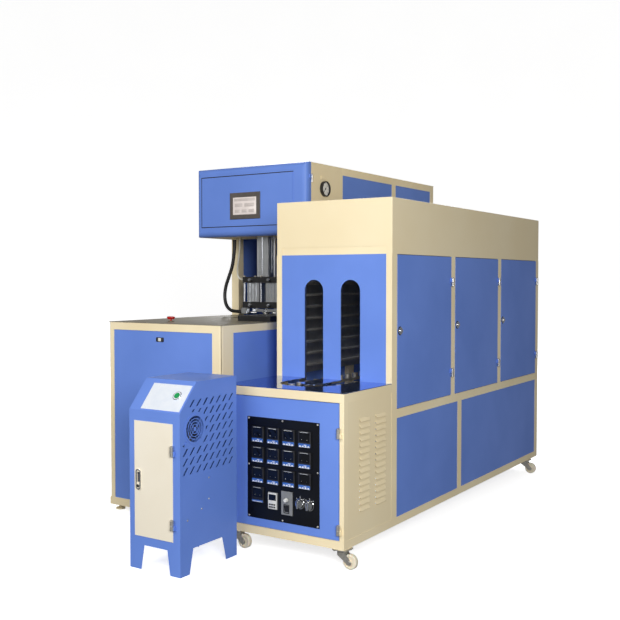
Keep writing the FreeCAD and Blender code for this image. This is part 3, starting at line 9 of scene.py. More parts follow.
import bpy
import numpy as np
from bpy.props import FloatProperty, FloatVectorProperty, IntProperty, PointerProperty
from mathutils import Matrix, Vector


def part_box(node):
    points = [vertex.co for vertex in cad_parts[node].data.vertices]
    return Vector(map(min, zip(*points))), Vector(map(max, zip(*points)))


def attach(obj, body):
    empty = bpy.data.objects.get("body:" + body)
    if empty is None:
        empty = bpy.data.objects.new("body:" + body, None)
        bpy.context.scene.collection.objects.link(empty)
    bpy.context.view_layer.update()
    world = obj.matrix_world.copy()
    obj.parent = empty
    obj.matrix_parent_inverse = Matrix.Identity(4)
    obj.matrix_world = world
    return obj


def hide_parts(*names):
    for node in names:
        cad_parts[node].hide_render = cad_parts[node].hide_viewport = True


bl_info = {
    "name": "Blow moulding machine finish",
    "version": (1, 0, 0),
    "blender": (4, 5, 0),
    "location": "3D View > Sidebar > Machine",
    "description": "Finishes, instruments, air lines and studio for a blow moulding machine",
    "category": "Object",
}

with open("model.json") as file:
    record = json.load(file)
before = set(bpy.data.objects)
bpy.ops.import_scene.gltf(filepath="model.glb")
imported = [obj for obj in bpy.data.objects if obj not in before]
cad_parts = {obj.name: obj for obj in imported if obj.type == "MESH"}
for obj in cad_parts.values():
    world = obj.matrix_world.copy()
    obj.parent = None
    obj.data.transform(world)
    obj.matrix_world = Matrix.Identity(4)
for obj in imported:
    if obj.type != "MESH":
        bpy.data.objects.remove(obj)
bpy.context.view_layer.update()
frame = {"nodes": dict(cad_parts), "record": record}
NODES = frame["nodes"]
MM = 0.001
SHARP_DEGREES = 32.0
X, Y, Z = np.eye(3)


def linear(code):
    """An sRGB hex colour as linear red, green, blue and alpha."""
    srgb = np.array([int(code[i:i + 2], 16) for i in (1, 3, 5)]) / 255
    rgb = np.where(srgb <= 0.04045, srgb / 12.92, ((srgb + 0.055) / 1.055) ** 2.4)
    return (*rgb.tolist(), 1.0)



def pair(first, second):
    """Two hex colours as linear tones."""
    return linear(first), linear(second)


def colour_property(name, description, code):
    """A colour picker whose default is a hex colour."""
    return FloatVectorProperty(name=name, description=description, subtype="COLOR", size=4,
                               min=0.0, max=1.0, default=linear(code))


def length_property(name, description, millimetres):
    """A length whose default is given in millimetres."""
    return FloatProperty(name=name, description=description, subtype="DISTANCE", unit="LENGTH",
                         default=millimetres * MM, min=0.0)


class MachineColours(bpy.types.PropertyGroup):
    """Colours of the painted and moulded finishes."""

    blue: colour_property("Blue enamel", "Doors, panels and cabinet", "#7396EA")
    blue_deep: colour_property("Blue enamel, thin film", "Where the blue coat runs darker", "#6B8EE1")
    cream: colour_property("Cream enamel", "Tube frames", "#FFF0CB")
    cream_deep: colour_property("Cream enamel, thin film", "Where the cream coat runs darker", "#F7E6BE")
    cover: colour_property("Cover enamel", "Hood, console sides and box sides", "#FAEBC6")
    door: colour_property("Pale enamel", "Small cabinet's door", "#FBF5E6")
    table: colour_property("Table enamel", "Press table top", "#8E8672")


class MachineSizes(bpy.types.PropertyGroup):
    """Sizes of the surface detail."""

    module_height: length_property("Regulator height", "Height of a power regulator's face", 68.0)
    column_pitch: length_property("Column pitch", "From one regulator to the next across", 81.67)
    row_pitch: length_property("Row pitch", "From one regulator to the next down", 88.5)
    screw_head: length_property("Screw head", "Diameter of an instrument panel screw", 9.0)
    hinge_sleeve: length_property("Hinge sleeve", "Wall of a hinge's bright sleeve", 0.7)
    hose_diameter: length_property("Air hose", "Outer diameter of the black air hose", 20.0)
    tube_diameter: length_property("Air tube", "Outer diameter of the white air tube", 10.0)
    dial_marks: IntProperty(name="Dial marks", description="Marks round the gauge's dial", default=31, min=3)


class StageSettings(bpy.types.PropertyGroup):
    """Camera and studio light."""

    lens: FloatProperty(name="Lens", description="Focal length", subtype="DISTANCE_CAMERA", default=51.98)
    key_power: FloatProperty(name="Key light", description="Power of the front left light", unit="POWER",
                             default=255.0)
    fill_power: FloatProperty(name="Fill light", description="Power of the front right light", unit="POWER",
                              default=132.0)
    back_power: FloatProperty(name="Back light", description="Power of the rear left light", unit="POWER",
                              default=420.0)
    sky_strength: FloatProperty(name="Sky", description="Strength of the even surround", default=0.2)
    floor_glow: FloatProperty(name="Floor glow", description="Light given off by the backdrop", default=0.72)


# ---------------------------------------------------------------- surfaces on a grid
def rounded_outline(half_u, half_v, radius, per_corner):
    """Rectangle with round corners: each corner's centre plus radius times (cos, sin) of a quarter turn."""
    corner = np.repeat(np.arange(4), per_corner)
    angle = np.tile(np.linspace(0, np.pi / 2, per_corner), 4) + corner * np.pi / 2
    sign_u = np.array([1, -1, -1, 1])[corner]
    sign_v = np.array([1, 1, -1, -1])[corner]
    u = sign_u * (half_u - radius) + radius * np.cos(angle)
    v = sign_v * (half_v - radius) + radius * np.sin(angle)
    return np.stack([u, v], axis=1)


def pad(centres, u, v, half, radius, levels, per_corner=5, closed=False):
    """A rounded rectangle carried outwards, once at each centre.

    Ring k is the outline drawn in by its level's inset and raised by its height along u x v. A closed
    pad joins its last ring to its first, as a sleeve or frame does; an open one gets two flat caps.
    """
    u, v = np.asarray(u, float), np.asarray(v, float)
    n = np.cross(u, v)
    rings = []
    for inset, height in levels:
        r = max(radius - inset, 0.02 * MM)
        wide, tall = half[0] - inset, half[1] - inset
        flat = rounded_outline(wide, tall, min(r, wide, tall), per_corner)
        rings.append(flat[:, :1] * u + flat[:, 1:] * v + height * n)
    base = np.array(rings)
    count, around = base.shape[:2]
    index = np.arange(count * around).reshape(count, around)
    lower = index if closed else index[:-1]
    upper = np.roll(index, -1, axis=0) if closed else index[1:]
    quads = np.stack([lower, np.roll(lower, -1, 1), np.roll(upper, -1, 1), upper], axis=-1).reshape(-1, 4)
    caps = np.empty((0, around), int) if closed else np.stack([index[0][::-1], index[-1]])
    centres = np.atleast_2d(np.asarray(centres, float))
    verts = (centres[:, None, :] + base.reshape(1, -1, 3)).reshape(-1, 3)
    shift = np.arange(len(centres))[:, None, None] * count * around
    faces = (quads[None] + shift).reshape(-1, 4).tolist() + (caps[None] + shift).reshape(-1, around).tolist()
    return verts, faces


def disc(centres, u, v, radius, levels, per_corner=8, closed=False):
    """A pad whose outline is a circle: a turned piece with its profile given as (inset, height)."""
    return pad(centres, u, v, (radius, radius), radius, levels, per_corner, closed)


def slab(low, high, edge, radius=None):
    """A flat piece between two corners that faces the operator, with its outer rim eased by edge."""
    low, high = np.asarray(low, float), np.asarray(high, float)
    centre = (low + high) / 2
    depth = high[1] - low[1]
    half = ((high[0] - low[0]) / 2, (high[2] - low[2]) / 2)
    return pad(centre + Y * depth / 2, X, Z, half, edge if radius is None else radius,
               [(0, 0), (0, depth - edge), (edge * 0.3, depth - edge * 0.3), (edge, depth)])


def front_mark(x, y, z, reach, a, half, radius):
    """A printed mark on a front face, pointing away from x, z at angle a and distance reach."""
    c, s = math.cos(a), math.sin(a)
    return pad((x + reach * c, y, z + reach * s), (c, 0, s), (-s, 0, c), half, radius,
               [(0, 0), (0, 0.0004)], 2)


def piece(name, parts, material, body):
    """One mesh object from (points, faces) parts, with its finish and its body."""
    verts, faces, start = [], [], 0
    for part_verts, part_faces in parts:
        verts.append(part_verts)
        faces += [[i + start for i in face] for face in part_faces]
        start += len(part_verts)
    mesh = bpy.data.meshes.new(name)
    mesh.from_pydata(np.concatenate(verts).tolist(), [], faces)
    mesh.polygons.foreach_set("use_smooth", np.ones(len(faces), bool))
    mesh.set_sharp_from_angle(angle=math.radians(SHARP_DEGREES))
    mesh.materials.append(material)
    mesh.update()
    obj = bpy.data.objects.new(name, mesh)
    bpy.context.scene.collection.objects.link(obj)
    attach(obj, body)
    return obj


def mesh_of(curve):
    """Points and faces of a curve or text as it is drawn."""
    holder = bpy.data.objects.new(curve.name, curve)
    bpy.context.scene.collection.objects.link(holder)
    bpy.context.view_layer.update()
    mesh = bpy.data.meshes.new_from_object(holder.evaluated_get(bpy.context.evaluated_depsgraph_get()))
    bpy.data.objects.remove(holder)
    points = np.empty(len(mesh.vertices) * 3)
    mesh.vertices.foreach_get("co", points)
    return points.reshape(-1, 3), [list(face.vertices) for face in mesh.polygons]


# ---------------------------------------------------------------- finishes
FINISH = {}


def add_node(tree, kind, sockets=None, **settings):
    """Adds one shader node, applies its settings, and sets or links its sockets."""
    made = tree.nodes.new(kind)
    for key, value in settings.items():
        setattr(made, key, value)
    for key, value in (sockets or {}).items():
        if isinstance(value, bpy.types.NodeSocket):
            tree.links.new(value, made.inputs[key])
        else:
            made.inputs[key].default_value = value
    return made


def finish(name, tones, roughness, patch_mm, grain_mm, grain_height_mm, stretch=(1, 1, 1), metallic=0.0,
           **sockets):
    """A principled surface whose colour and gloss drift over patches and whose grain is a fine bump.

    tones are two colours, roughness its least and greatest value, and stretch lengthens the grain along
    an axis, as brushing does.
    """
    material = bpy.data.materials.new(name)
    material.use_nodes = True
    tree = material.node_tree
    shader = tree.nodes["Principled BSDF"]
    place = add_node(tree, "ShaderNodeTexCoord").outputs["Object"]
    patch = add_node(tree, "ShaderNodeTexNoise", {"Vector": place, "Scale": 1000 / patch_mm, "Detail": 3.0})
    steps = add_node(tree, "ShaderNodeMapRange", {"Value": patch.outputs["Fac"],
                                                  "From Min": 0.35, "From Max": 0.65})
    tone = add_node(tree, "ShaderNodeMix", {0: steps.outputs["Result"], 6: tones[0], 7: tones[1]},
                    data_type="RGBA").outputs[2]
    gloss = add_node(tree, "ShaderNodeMapRange", {"Value": patch.outputs["Fac"],
                                                  "From Min": 0.3, "From Max": 0.7,
                                                  "To Min": roughness[0], "To Max": roughness[1]})
    spread = add_node(tree, "ShaderNodeMapping", {"Vector": place, "Scale": tuple(1 / s for s in stretch)})
    grain = add_node(tree, "ShaderNodeTexNoise", {"Vector": spread.outputs["Vector"],
                                                  "Scale": 1000 / grain_mm, "Detail": 2.0})
    bump = add_node(tree, "ShaderNodeBump", {"Height": grain.outputs["Fac"], "Strength": 1.0,
                                             "Distance": grain_height_mm * MM})
    tree.links.new(tone, shader.inputs["Base Color"])
    tree.links.new(gloss.outputs["Result"], shader.inputs["Roughness"])
    tree.links.new(bump.outputs["Normal"], shader.inputs["Normal"])
    shader.inputs["Metallic"].default_value = metallic
    for key, value in sockets.items():
        shader.inputs[key.replace("_", " ")].default_value = value
    FINISH[name] = material


def make_finishes(c):
    """Every finish of the machine, named for the real one."""
    # Powder coat on sheet steel: even colour, semi-gloss, a faint orange peel 5 mm across.
    enamel = dict(patch_mm=420, grain_mm=5, grain_height_mm=0.03, IOR=1.45, Specular_IOR_Level=0.22)
    finish("blue powder coat", (c.blue, c.blue_deep), (0.30, 0.38), **enamel)
    finish("cream powder coat", (c.cream, c.cream_deep), (0.34, 0.42), **enamel)
    finish("cover powder coat", (c.cover, c.cream_deep), (0.36, 0.44), **enamel)
    finish("pale powder coat", (c.door, linear("#F4ECDA")), (0.34, 0.42), **enamel)
    finish("table enamel", (c.table, linear("#7E7664")), (0.28, 0.40), **enamel)
    # Polished stainless sheet, its colour tinted blue as a painted reflection of the blue panel above it:
    # long fine polishing marks along X.
    finish("steel plate with painted blue reflection", pair("#8FA6DA", "#7E98D6"), (0.08, 0.16), 300, 1.2, 0.01,
           stretch=(40, 1, 1), metallic=0.95)
    # Extruded and clear-anodised aluminium: soft streaks along the extrusion, no mirror.
    finish("anodised aluminium", pair("#D5D7DA", "#C4C7CB"), (0.28, 0.38), 60, 1.5, 0.012,
           stretch=(1, 1, 30), metallic=1.0)
    # Bright chrome plate: nearly a mirror.
    finish("chrome plate", pair("#E6E8EA", "#DADDE0"), (0.06, 0.12), 40, 8, 0.004, metallic=1.0)
    # Zinc plate: pale grey metal with a soft spangle of several millimetres.
    finish("zinc plate", pair("#D6D3CB", "#BFBCB4"), (0.34, 0.46), 9, 3, 0.01, metallic=0.85)
    # Black oxide and black enamel on machined steel: dull, a little grain from milling.
    finish("black enamelled steel", pair("#141416", "#1E1E21"), (0.34, 0.5), 90, 1.5, 0.02, IOR=1.5)
    # Printed polycarbonate overlay: deep black, smooth.
    finish("black overlay", pair("#0A0B0F", "#0E1015"), (0.3, 0.38), 200, 6, 0.006, IOR=1.58,
           Specular_IOR_Level=0.25)
    # Injection-moulded ABS: a spark-eroded grain of about 1 mm, satin.
    moulded = dict(patch_mm=35, grain_mm=1.0, grain_height_mm=0.03, IOR=1.54)
    finish("black ABS", pair("#17181B", "#202126"), (0.42, 0.52), **moulded)
    finish("grey ABS", pair("#8C8E90", "#7F8183"), (0.42, 0.52), **moulded)
    finish("white ABS", pair("#E9E9E4", "#DCDCD6"), (0.38, 0.48), **moulded)
    finish("blue ABS", pair("#3E6FC4", "#3564B6"), (0.36, 0.46), **moulded)
    finish("green ABS", pair("#1FA35B", "#17924E"), (0.22, 0.3), **moulded)
    finish("red ABS", pair("#C8201B", "#B71713"), (0.22, 0.3), **moulded)
    # Cast nylon wheel: creamy, waxy, lets a little light in.
    finish("cast nylon", pair("#F2E9D3", "#E8DEC6"), (0.35, 0.45), 30, 2, 0.02, IOR=1.53,
           Subsurface_Weight=0.12, Subsurface_Scale=0.004)
    # Vulcanised rubber hose: dull black with a cloth-wrap mark every 3 mm.
    finish("wrapped rubber", pair("#0E0E0F", "#161617"), (0.45, 0.6), 40, 3, 0.06, IOR=1.52)
    # Polyurethane air tube: milky and smooth.
    finish("polyurethane tube", pair("#E9E7DC", "#DEDBCD"), (0.2, 0.3), 30, 5, 0.01, IOR=1.5)
    # Window of a digital instrument: smoked acrylic.
    finish("smoked acrylic", pair("#07090F", "#0B0E16"), (0.05, 0.09), 50, 8, 0.003, IOR=1.49)
    # Paper-white dial and printed marks.
    finish("white dial", pair("#F4F3EE", "#ECEBE5"), (0.4, 0.5), 20, 2, 0.004, IOR=1.5)
    finish("printed ink", pair("#15161A", "#1C1D22"), (0.4, 0.5), 20, 2, 0.002, IOR=1.5)
    finish("pale screen", pair("#E8DEDA", "#E2D8D4"), (0.12, 0.2), 30, 4, 0.002, IOR=1.5,
           Emission_Color=linear("#E8DEDA"), Emission_Strength=0.12)
    finish("screen field", pair("#D9CFCB", "#D3C9C5"), (0.12, 0.2), 30, 4, 0.002, IOR=1.5)
    finish("fascia film", pair("#EDF2FA", "#E2EAF6"), (0.25, 0.34), 60, 6, 0.004, IOR=1.5)
    finish("white key", pair("#EEF2F6", "#E4E9EF"), (0.35, 0.45), 12, 2, 0.004, IOR=1.5)
    finish("screen bezel", pair("#5B5450", "#524C48"), (0.4, 0.5), 35, 1, 0.03, IOR=1.54)
    # Black rubber seal laid in the head door's groove; its black also stands in as painted shade of the
    # groove.
    finish("groove seal with painted shade", pair("#1B1C20", "#232429"), (0.45, 0.55), 40, 2, 0.02, IOR=1.52)
    # Clear fused quartz: only its highlights and a slight tint show.
    finish("fused quartz", pair("#F2F1EC", "#F2F1EC"), (0.02, 0.05), 30, 6, 0.002, IOR=1.46,
           Transmission_Weight=0.95)


CAD_FINISH = {
    "blue powder coat": ("oven_front_panel", "oven_panels", "oven_door_front", "oven_door_middle",
                         "oven_door_rear", "console_door", "press_panels", "head_door", "cabinet_body"),
    "cream powder coat": ("oven_frame", "press_frame"),
    "cover powder coat": ("oven_hood", "console_side_panels", "head_housing"),
    "pale powder coat": ("cabinet_door",),
    "table enamel": ("press_table",),
    "steel plate with painted blue reflection": ("console_shelf",),
    "anodised aluminium": ("lamp_reflectors", "seal_cylinders", "stretch_cylinder"),
    "chrome plate": ("blow_nozzle", "stretch_rod", "selector_left", "selector_right", "door_lock_front",
                     "door_lock_middle", "door_lock_rear", "cabinet_handle"),
    "zinc plate": ("hinge_pins", "castor_plates", "preform_chain", "castor_fork_front_left",
                   "castor_fork_front_right", "castor_fork_rear_left", "castor_fork_rear_right"),
    "cast nylon": ("castor_wheel_front_left", "castor_wheel_front_right", "castor_wheel_rear_left",
                   "castor_wheel_rear_right"),
    "black enamelled steel": ("drive_sprocket", "idler_sprocket", "conveyor_motor", "mould_front",
                              "mould_rear", "mould_clamp", "gauge_needle"),
    "black overlay": ("instrument_panel",),
    "black ABS": ("power_regulators", "run_switch", "pressure_gauge", "cabinet_fan"),
    "grey ABS": ("panel_controllers",),
    "screen bezel": ("touch_screen",),
    "white ABS": ("speed_knob",),
    "fascia film": ("cabinet_fascia",),
    "red ABS": ("emergency_stop",),
    "green ABS": ("start_button",),
    "fused quartz": ("quartz_lamps",),
    "wrapped rubber": ("air_hose",),
    "polyurethane tube": ("air_tubes",),
}


def paint_frame():
    """Puts each finish on the construction's own pieces."""
    for finish_name, names in CAD_FINISH.items():
        for name in names:
            mesh = NODES[name].data
            if not mesh.materials:
                mesh.materials.append(FINISH[finish_name])
            for index in range(len(mesh.materials)):
                mesh.materials[index] = FINISH[finish_name]


# ---------------------------------------------------------------- console instruments
def regulator_corners(sizes):
    """Lower left front corner of each regulator: a grid of three rows of four, and one below."""
    low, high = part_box("power_regulators")
    column, row = np.meshgrid(np.arange(4), np.arange(3))
    x = low.x + column.ravel() * sizes.column_pitch
    z = high.z - sizes.module_height - row.ravel() * sizes.row_pitch
    return np.vstack([np.stack([x, np.full(12, low.y), z], axis=1), low])


def face_parts(corners, x0, x1, z0, z1, back, front, edge):
    """The same eased flat piece on every regulator's face, from offsets in millimetres."""
    half = ((x1 - x0) / 2 * MM, (z1 - z0) / 2 * MM)
    centre = corners + np.array([(x0 + x1) / 2, -back, (z0 + z1) / 2]) * MM
    height = (front - back) * MM
    return pad(centre, X, Z, half, edge * MM,
               [(0, 0), (0, height - edge * 0.5 * MM), (edge * 0.5 * MM, height)], per_corner=3)


def dress_regulators(sizes):
    """Windows, key strips, keys and setting screws of the thirteen power regulators."""
    corners = regulator_corners(sizes)
    main, last = corners[:12], corners[12:]
    piece("regulator_windows", [face_parts(corners, 7, 57, 23, 61, -1.4, -0.3, 1.5)],
          FINISH["smoked acrylic"], "console_door")
    piece("regulator_strips", [face_parts(main, 2.5, 61.5, 2, 17, 0.0, 0.8, 1.5),
                               face_parts(last, 2.5, 61.5, 2, 11, 0.0, 0.8, 1.5)],
          FINISH["blue ABS"], "console_door")
    keys = [face_parts(main, x, x + 9, 3.2, 8.2, 0.8, 1.8, 1.5) for x in (7, 21, 35, 49)]
    keys.append(face_parts(main, 4, 60, 1.6, 3.0, 0.8, 1.1, 0.5))
    keys.append(face_parts(main, 30, 44, 10, 13, 0.8, 1.3, 1.0))
    keys.append(face_parts(last, 6, 58, 3, 5.5, 0.8, 1.4, 1.0))
    keys.append(face_parts(corners, 9, 50, 64, 65.4, 0.0, 0.4, 0.6))
    piece("regulator_keys", keys, FINISH["white key"], "console_door")
    screws = [face_parts(corners, x, x + 2.6, 32, 34.6, -0.3, 0.2, 1.25) for x in (17, 44)]
    piece("regulator_screws", screws, FINISH["zinc plate"], "console_door")


def dress_controllers():
    """White face of the temperature controller, marks round the speed knob, bezel of the rocker switch."""
    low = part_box("panel_controllers")[0]
    front = low.y
    unit_width, unit_height, unit_top = 0.0478, 0.073, 0.124
    left, right = low.x, low.x + unit_width
    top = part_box("instrument_panel")[0].z + unit_top
    bottom = top - unit_height
    piece("temperature_face", [slab((left + 0.001, front - 0.0012, bottom + 0.001),
                                    (right - 0.001, front, top - 0.001), 0.0008, radius=0.003)],
          FINISH["white ABS"], "console_door")
    window = slab((left + 0.005, front - 0.0018, top - 0.034),
                  (right - 0.005, front - 0.0012, top - 0.008), 0.0004)
    piece("temperature_window", [window], FINISH["smoked acrylic"], "console_door")
    key_x = np.array([0.0065, 0.0185, 0.0305]) + left
    keys = [slab((x, front - 0.0028, z), (x + 0.0095, front - 0.0012, z + 0.006), 0.0006, radius=0.0015)
            for x in key_x for z in (bottom + 0.007, bottom + 0.018)]
    piece("temperature_keys", keys, FINISH["black ABS"], "console_door")

    knob_low, knob_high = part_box("speed_knob")
    x, z = (knob_low.x + knob_high.x) / 2, (knob_low.z + knob_high.z) / 2
    ticks = [front_mark(x, front, z, 0.0135, a, (0.0016, 0.0004), 0.0002)
             for a in np.radians(np.linspace(-225, 45, 11))]
    piece("speed_marks", ticks, FINISH["printed ink"], "console_door")
    rocker_low, rocker_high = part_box("run_switch")
    middle = (rocker_low + rocker_high) / 2
    half = ((rocker_high.x - rocker_low.x) / 2 + 0.0045, (rocker_high.z - rocker_low.z) / 2 + 0.0055)
    bezel = pad((middle.x, front, middle.z), X, Z, half, 0.002,
                [(0, 0), (0, 0.0016), (0.0006, 0.002), (0.0028, 0.002), (0.0028, 0)], 4, closed=True)
    piece("rocker_bezel", [bezel], FINISH["black ABS"], "console_door")


def dress_selectors():
    """Bright rings and printed marks under the two rotary selectors, and a black pointer on each knob."""
    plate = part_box("instrument_panel")[0].y
    ring = [(0, 0), (0, 0.0026), (0.001, 0.0034), (0.0035, 0.0034), (0.0045, 0.0022), (0.0045, 0)]
    rings, marks = [], []
    for name in ("selector_left", "selector_right"):
        low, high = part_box(name)
        x, z = (low.x + high.x) / 2, (low.z + high.z) / 2
        rings.append(disc((x, plate, z), X, Z, 0.0225, ring, closed=True))
        marks += [front_mark(x, plate, z, 0.028, a, (0.003, 0.0008), 0.0003)
                  for a in np.radians([50, 90, 130])]
        pointer = slab((x - 0.0011, low.y - 0.0004, high.z - 0.016),
                       (x + 0.0011, low.y + 0.0003, high.z - 0.004), 0.0003)
        piece(name + "_pointer", [pointer], FINISH["printed ink"], name)
    piece("selector_rings", rings, FINISH["chrome plate"], "console_door")
    piece("selector_marks", marks, FINISH["white key"], "console_door")


def dress_panel_screws(sizes):
    """Eight domed screws round the instrument panel."""
    low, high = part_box("instrument_panel")
    edge = 0.0075
    middle_rise = 0.012
    xs = (low.x + edge, (low.x + high.x) / 2, high.x - edge)
    zs = (low.z + edge, (low.z + high.z) / 2 + middle_rise, high.z - edge)
    points = [(x, low.y, z) for z in zs for x in xs]
    del points[4]
    r = sizes.screw_head / 2
    dome = [(0, 0), (0, 0.2 * r), (0.12 * r, 0.42 * r), (0.42 * r, 0.62 * r), (0.62 * r, 0.66 * r),
            (0.66 * r, 0.4 * r), (0.98 * r, 0.4 * r)]
    piece("panel_screws", [disc(points, X, Z, r, dome, 4)], FINISH["zinc plate"], "console_door")


# ---------------------------------------------------------------- hinges and locks
def hinge_places():
    """Pin centre, low end and high end of each barrel hinge.

    The pins' mesh is a set of loose upright cylinders: its points are grouped by their place across.
    """
    # Grid the points are sorted on, half width searched round it, height of one pin's points, and how
    # close two finds lie when they are the same hinge.
    cell, reach, pin_height, same = 0.012, 0.02, 0.06, 0.004
    points = np.array([v.co for v in NODES["hinge_pins"].data.vertices])
    keys = np.round(points[:, :2] / cell).astype(int)
    places = []
    for key in np.unique(keys, axis=0):
        near = points[np.abs(points[:, :2] - key * cell).max(1) < reach]
        levels = np.unique(near[:, 2].round(4))
        gaps = np.where(np.diff(levels) > pin_height)[0]
        starts = np.r_[levels[0], levels[gaps + 1]]
        centre = (near[:, :2].min(0) + near[:, :2].max(0)) / 2
        for z in starts:
            column = near[(near[:, 2] >= z - 1e-4) & (near[:, 2] < z + pin_height)]
            places.append((centre[0], centre[1], z, column[:, 2].max()))
    unique = []
    for place in places:
        if not any(np.allclose(place, other, atol=same) for other in unique):
            unique.append(place)
    return unique


def leaf_body(x, y):
    """The body whose hinge axis stands nearest x, y."""
    joints = [j for j in frame["record"]["behaviour"]["joints"] if j["name"].endswith("_swing")]
    best = min(joints, key=lambda j: math.hypot(j["pos_m"][0] - x, j["pos_m"][1] - y))
    return best["child"]


def dress_hinges(sizes):
    """Bright sleeves over the barrel hinges: the lower half stays, the upper half goes with the door."""
    wall = sizes.hinge_sleeve
    still, moving = [], {}
    for x, y, low, high in hinge_places():
        body = leaf_body(x, y)
        barrel = 5 * MM if body == "head_door" else 7 * MM
        length = high - low - 2 * MM
        r = barrel + wall
        for start, end, parts in ((0, length / 2 - 0.4 * MM, still),
                                  (length / 2 + 0.4 * MM, length, moving.setdefault(body, []))):
            tall = end - start
            rim = [(0.4 * MM, 0), (0, 0.6 * MM), (0, tall - 0.6 * MM), (0.4 * MM, tall), (wall, tall),
                   (wall, 0)]
            parts.append(disc((x, y, low + start), X, Y, r, rim, 6, closed=True))
        cap = [(0, 0), (0, 0.8 * MM), (0.35 * r, 2.2 * MM), (0.8 * r, 2.6 * MM)]
        moving[body].append(disc((x, y, high), X, Y, r * 0.8, cap, 6))
    piece("hinge_sleeves", still, FINISH["zinc plate"], "root")
    for body, parts in moving.items():
        piece(body + "_hinge_sleeves", parts, FINISH["zinc plate"], body)


def dress_locks():
    """Black rings round the door locks as painted shadow, and the flush latch on the press's front panel."""
    # A black ring round each lock: painted shadow of the lock on its door.
    ring = [(0, 0), (0, 0.0006), (0.0008, 0.001), (0.005, 0.001), (0.005, 0)]
    for name in ("front", "middle", "rear"):
        low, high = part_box("door_lock_" + name)
        centre = (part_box("oven_panels")[1].x + 0.003, (low.y + high.y) / 2, high.z - 0.017)
        piece("lock_painted_shadow_ring_" + name, [disc(centre, Y, Z, 0.0205, ring, closed=True)], FINISH["black ABS"],
              "door_" + name)
    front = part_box("press_panels")[0].y
    table_low, table_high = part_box("press_table")
    x = (table_low.x + table_high.x) / 2 - 0.018
    z = table_high.z - 0.087
    case = slab((x - 0.025, front - 0.003, z - 0.011), (x + 0.025, front, z + 0.011), 0.001, radius=0.004)
    piece("press_lock_case", [case], FINISH["black ABS"], "root")
    paddle = slab((x - 0.009, front - 0.0055, z - 0.008), (x + 0.009, front - 0.003, z + 0.008), 0.001,
                  radius=0.003)
    piece("press_lock_paddle", [paddle], FINISH["white ABS"], "root")


# ---------------------------------------------------------------- overhead box
def dress_gauge(sizes):
    """Dial, printed marks, numbers and black rim of the pressure gauge."""
    low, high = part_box("pressure_gauge")
    x, y, z = high.x, (low.y + high.y) / 2, (low.z + high.z) / 2
    r = (high.z - low.z) / 2
    dial = disc((x - 0.0098, y, z), Y, Z, r - 0.0042, [(0, 0), (0, 0.0006)], 10)
    piece("gauge_dial", [dial], FINISH["white dial"], "root")
    angles = np.radians(np.linspace(-45, 225, sizes.dial_marks))
    ticks = []
    for k, a in enumerate(angles):
        long_mark = k % 5 == 0
        half = 0.0035 if long_mark else 0.0018
        reach = r - 0.0068 - half
        ticks.append(pad((x - 0.0092, y + reach * math.cos(a), z + reach * math.sin(a)),
                         (0, math.cos(a), math.sin(a)), (0, -math.sin(a), math.cos(a)),
                         (half, 0.0006 if long_mark else 0.0003), 0.0002, [(0, 0), (0, 0.0002)], 2))
    piece("gauge_marks", ticks, FINISH["printed ink"], "root")
    section = [(0.0006, 0), (0, 0.001), (0, 0.004), (0.0012, 0.0056), (0.0034, 0.006), (0.0052, 0.0048),
               (0.0052, 0)]
    rim = disc((x - 0.0045, y, z), Y, Z, r + 0.0006, section, 12, closed=True)
    piece("gauge_rim", [rim], FINISH["black ABS"], "root")
    for k, label in enumerate("0369"):
        a = math.radians(225 - 90 * k)
        text = bpy.data.curves.new("gauge_number", "FONT")
        text.body = label
        text.size = 0.011
        text.align_x = "CENTER"
        text.align_y = "CENTER"
        text.extrude = 0.0001
        flat, faces = mesh_of(text)
        reach = r - 0.0175
        centre = np.array([x - 0.0088, y + reach * math.cos(a), z + reach * math.sin(a)])
        placed = centre + flat[:, :1] * Y + flat[:, 1:2] * Z + flat[:, 2:] * X
        piece("gauge_number_%d" % k, [(placed, faces)], FINISH["printed ink"], "root")


def dress_screen():
    """Touch screen picture and fields, and a black seal with painted shade in the front door's groove."""
    low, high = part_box("touch_screen")
    x0, x1, z0, z1 = low.x + 0.023, high.x - 0.025, low.z + 0.025, high.z - 0.027
    y = low.y + 0.0015
    glass = slab((x0, y - 0.0007, z0), (x1, y, z1), 0.0004)
    piece("screen_glass", [glass], FINISH["pale screen"], "head_door")
    width, height = x1 - x0, z1 - z0
    # Left, lower, right and upper edge of each plain field, as shares of the picture area.
    shares = ((0.05, 0.78, 0.95, 0.93), (0.08, 0.45, 0.42, 0.65), (0.5, 0.45, 0.92, 0.65),
              (0.08, 0.12, 0.3, 0.3), (0.38, 0.12, 0.6, 0.3), (0.68, 0.12, 0.92, 0.3))
    fields = [slab((x0 + width * a, y - 0.0011, z0 + height * b),
                   (x0 + width * c, y - 0.0007, z0 + height * d), 0.0002) for a, b, c, d in shares]
    piece("screen_fields", fields, FINISH["screen field"], "head_door")
    door_low, door_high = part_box("head_door")
    # The joint's distance from the door's left, right, lower and upper edges.
    from_left, from_right, from_low, from_high = 0.036, 0.085, 0.054, 0.047
    left, right = door_low.x + from_left, door_high.x - from_right
    bottom, top = door_low.z + from_low, door_high.z - from_high
    # A black seal in the groove: a real rubber strip, also painted shade deepening the groove's dark line.
    strip = pad(((left + right) / 2, door_low.y + 0.0018, (bottom + top) / 2), X, Z,
                ((right - left) / 2 - 0.0003, (top - bottom) / 2 - 0.0003), 0.0005,
                [(0, 0), (0, 0.0012), (0.0044, 0.0012), (0.0044, 0)], 2, closed=True)
    piece("door_groove_seal_painted_shade", [strip], FINISH["groove seal with painted shade"], "head_door")


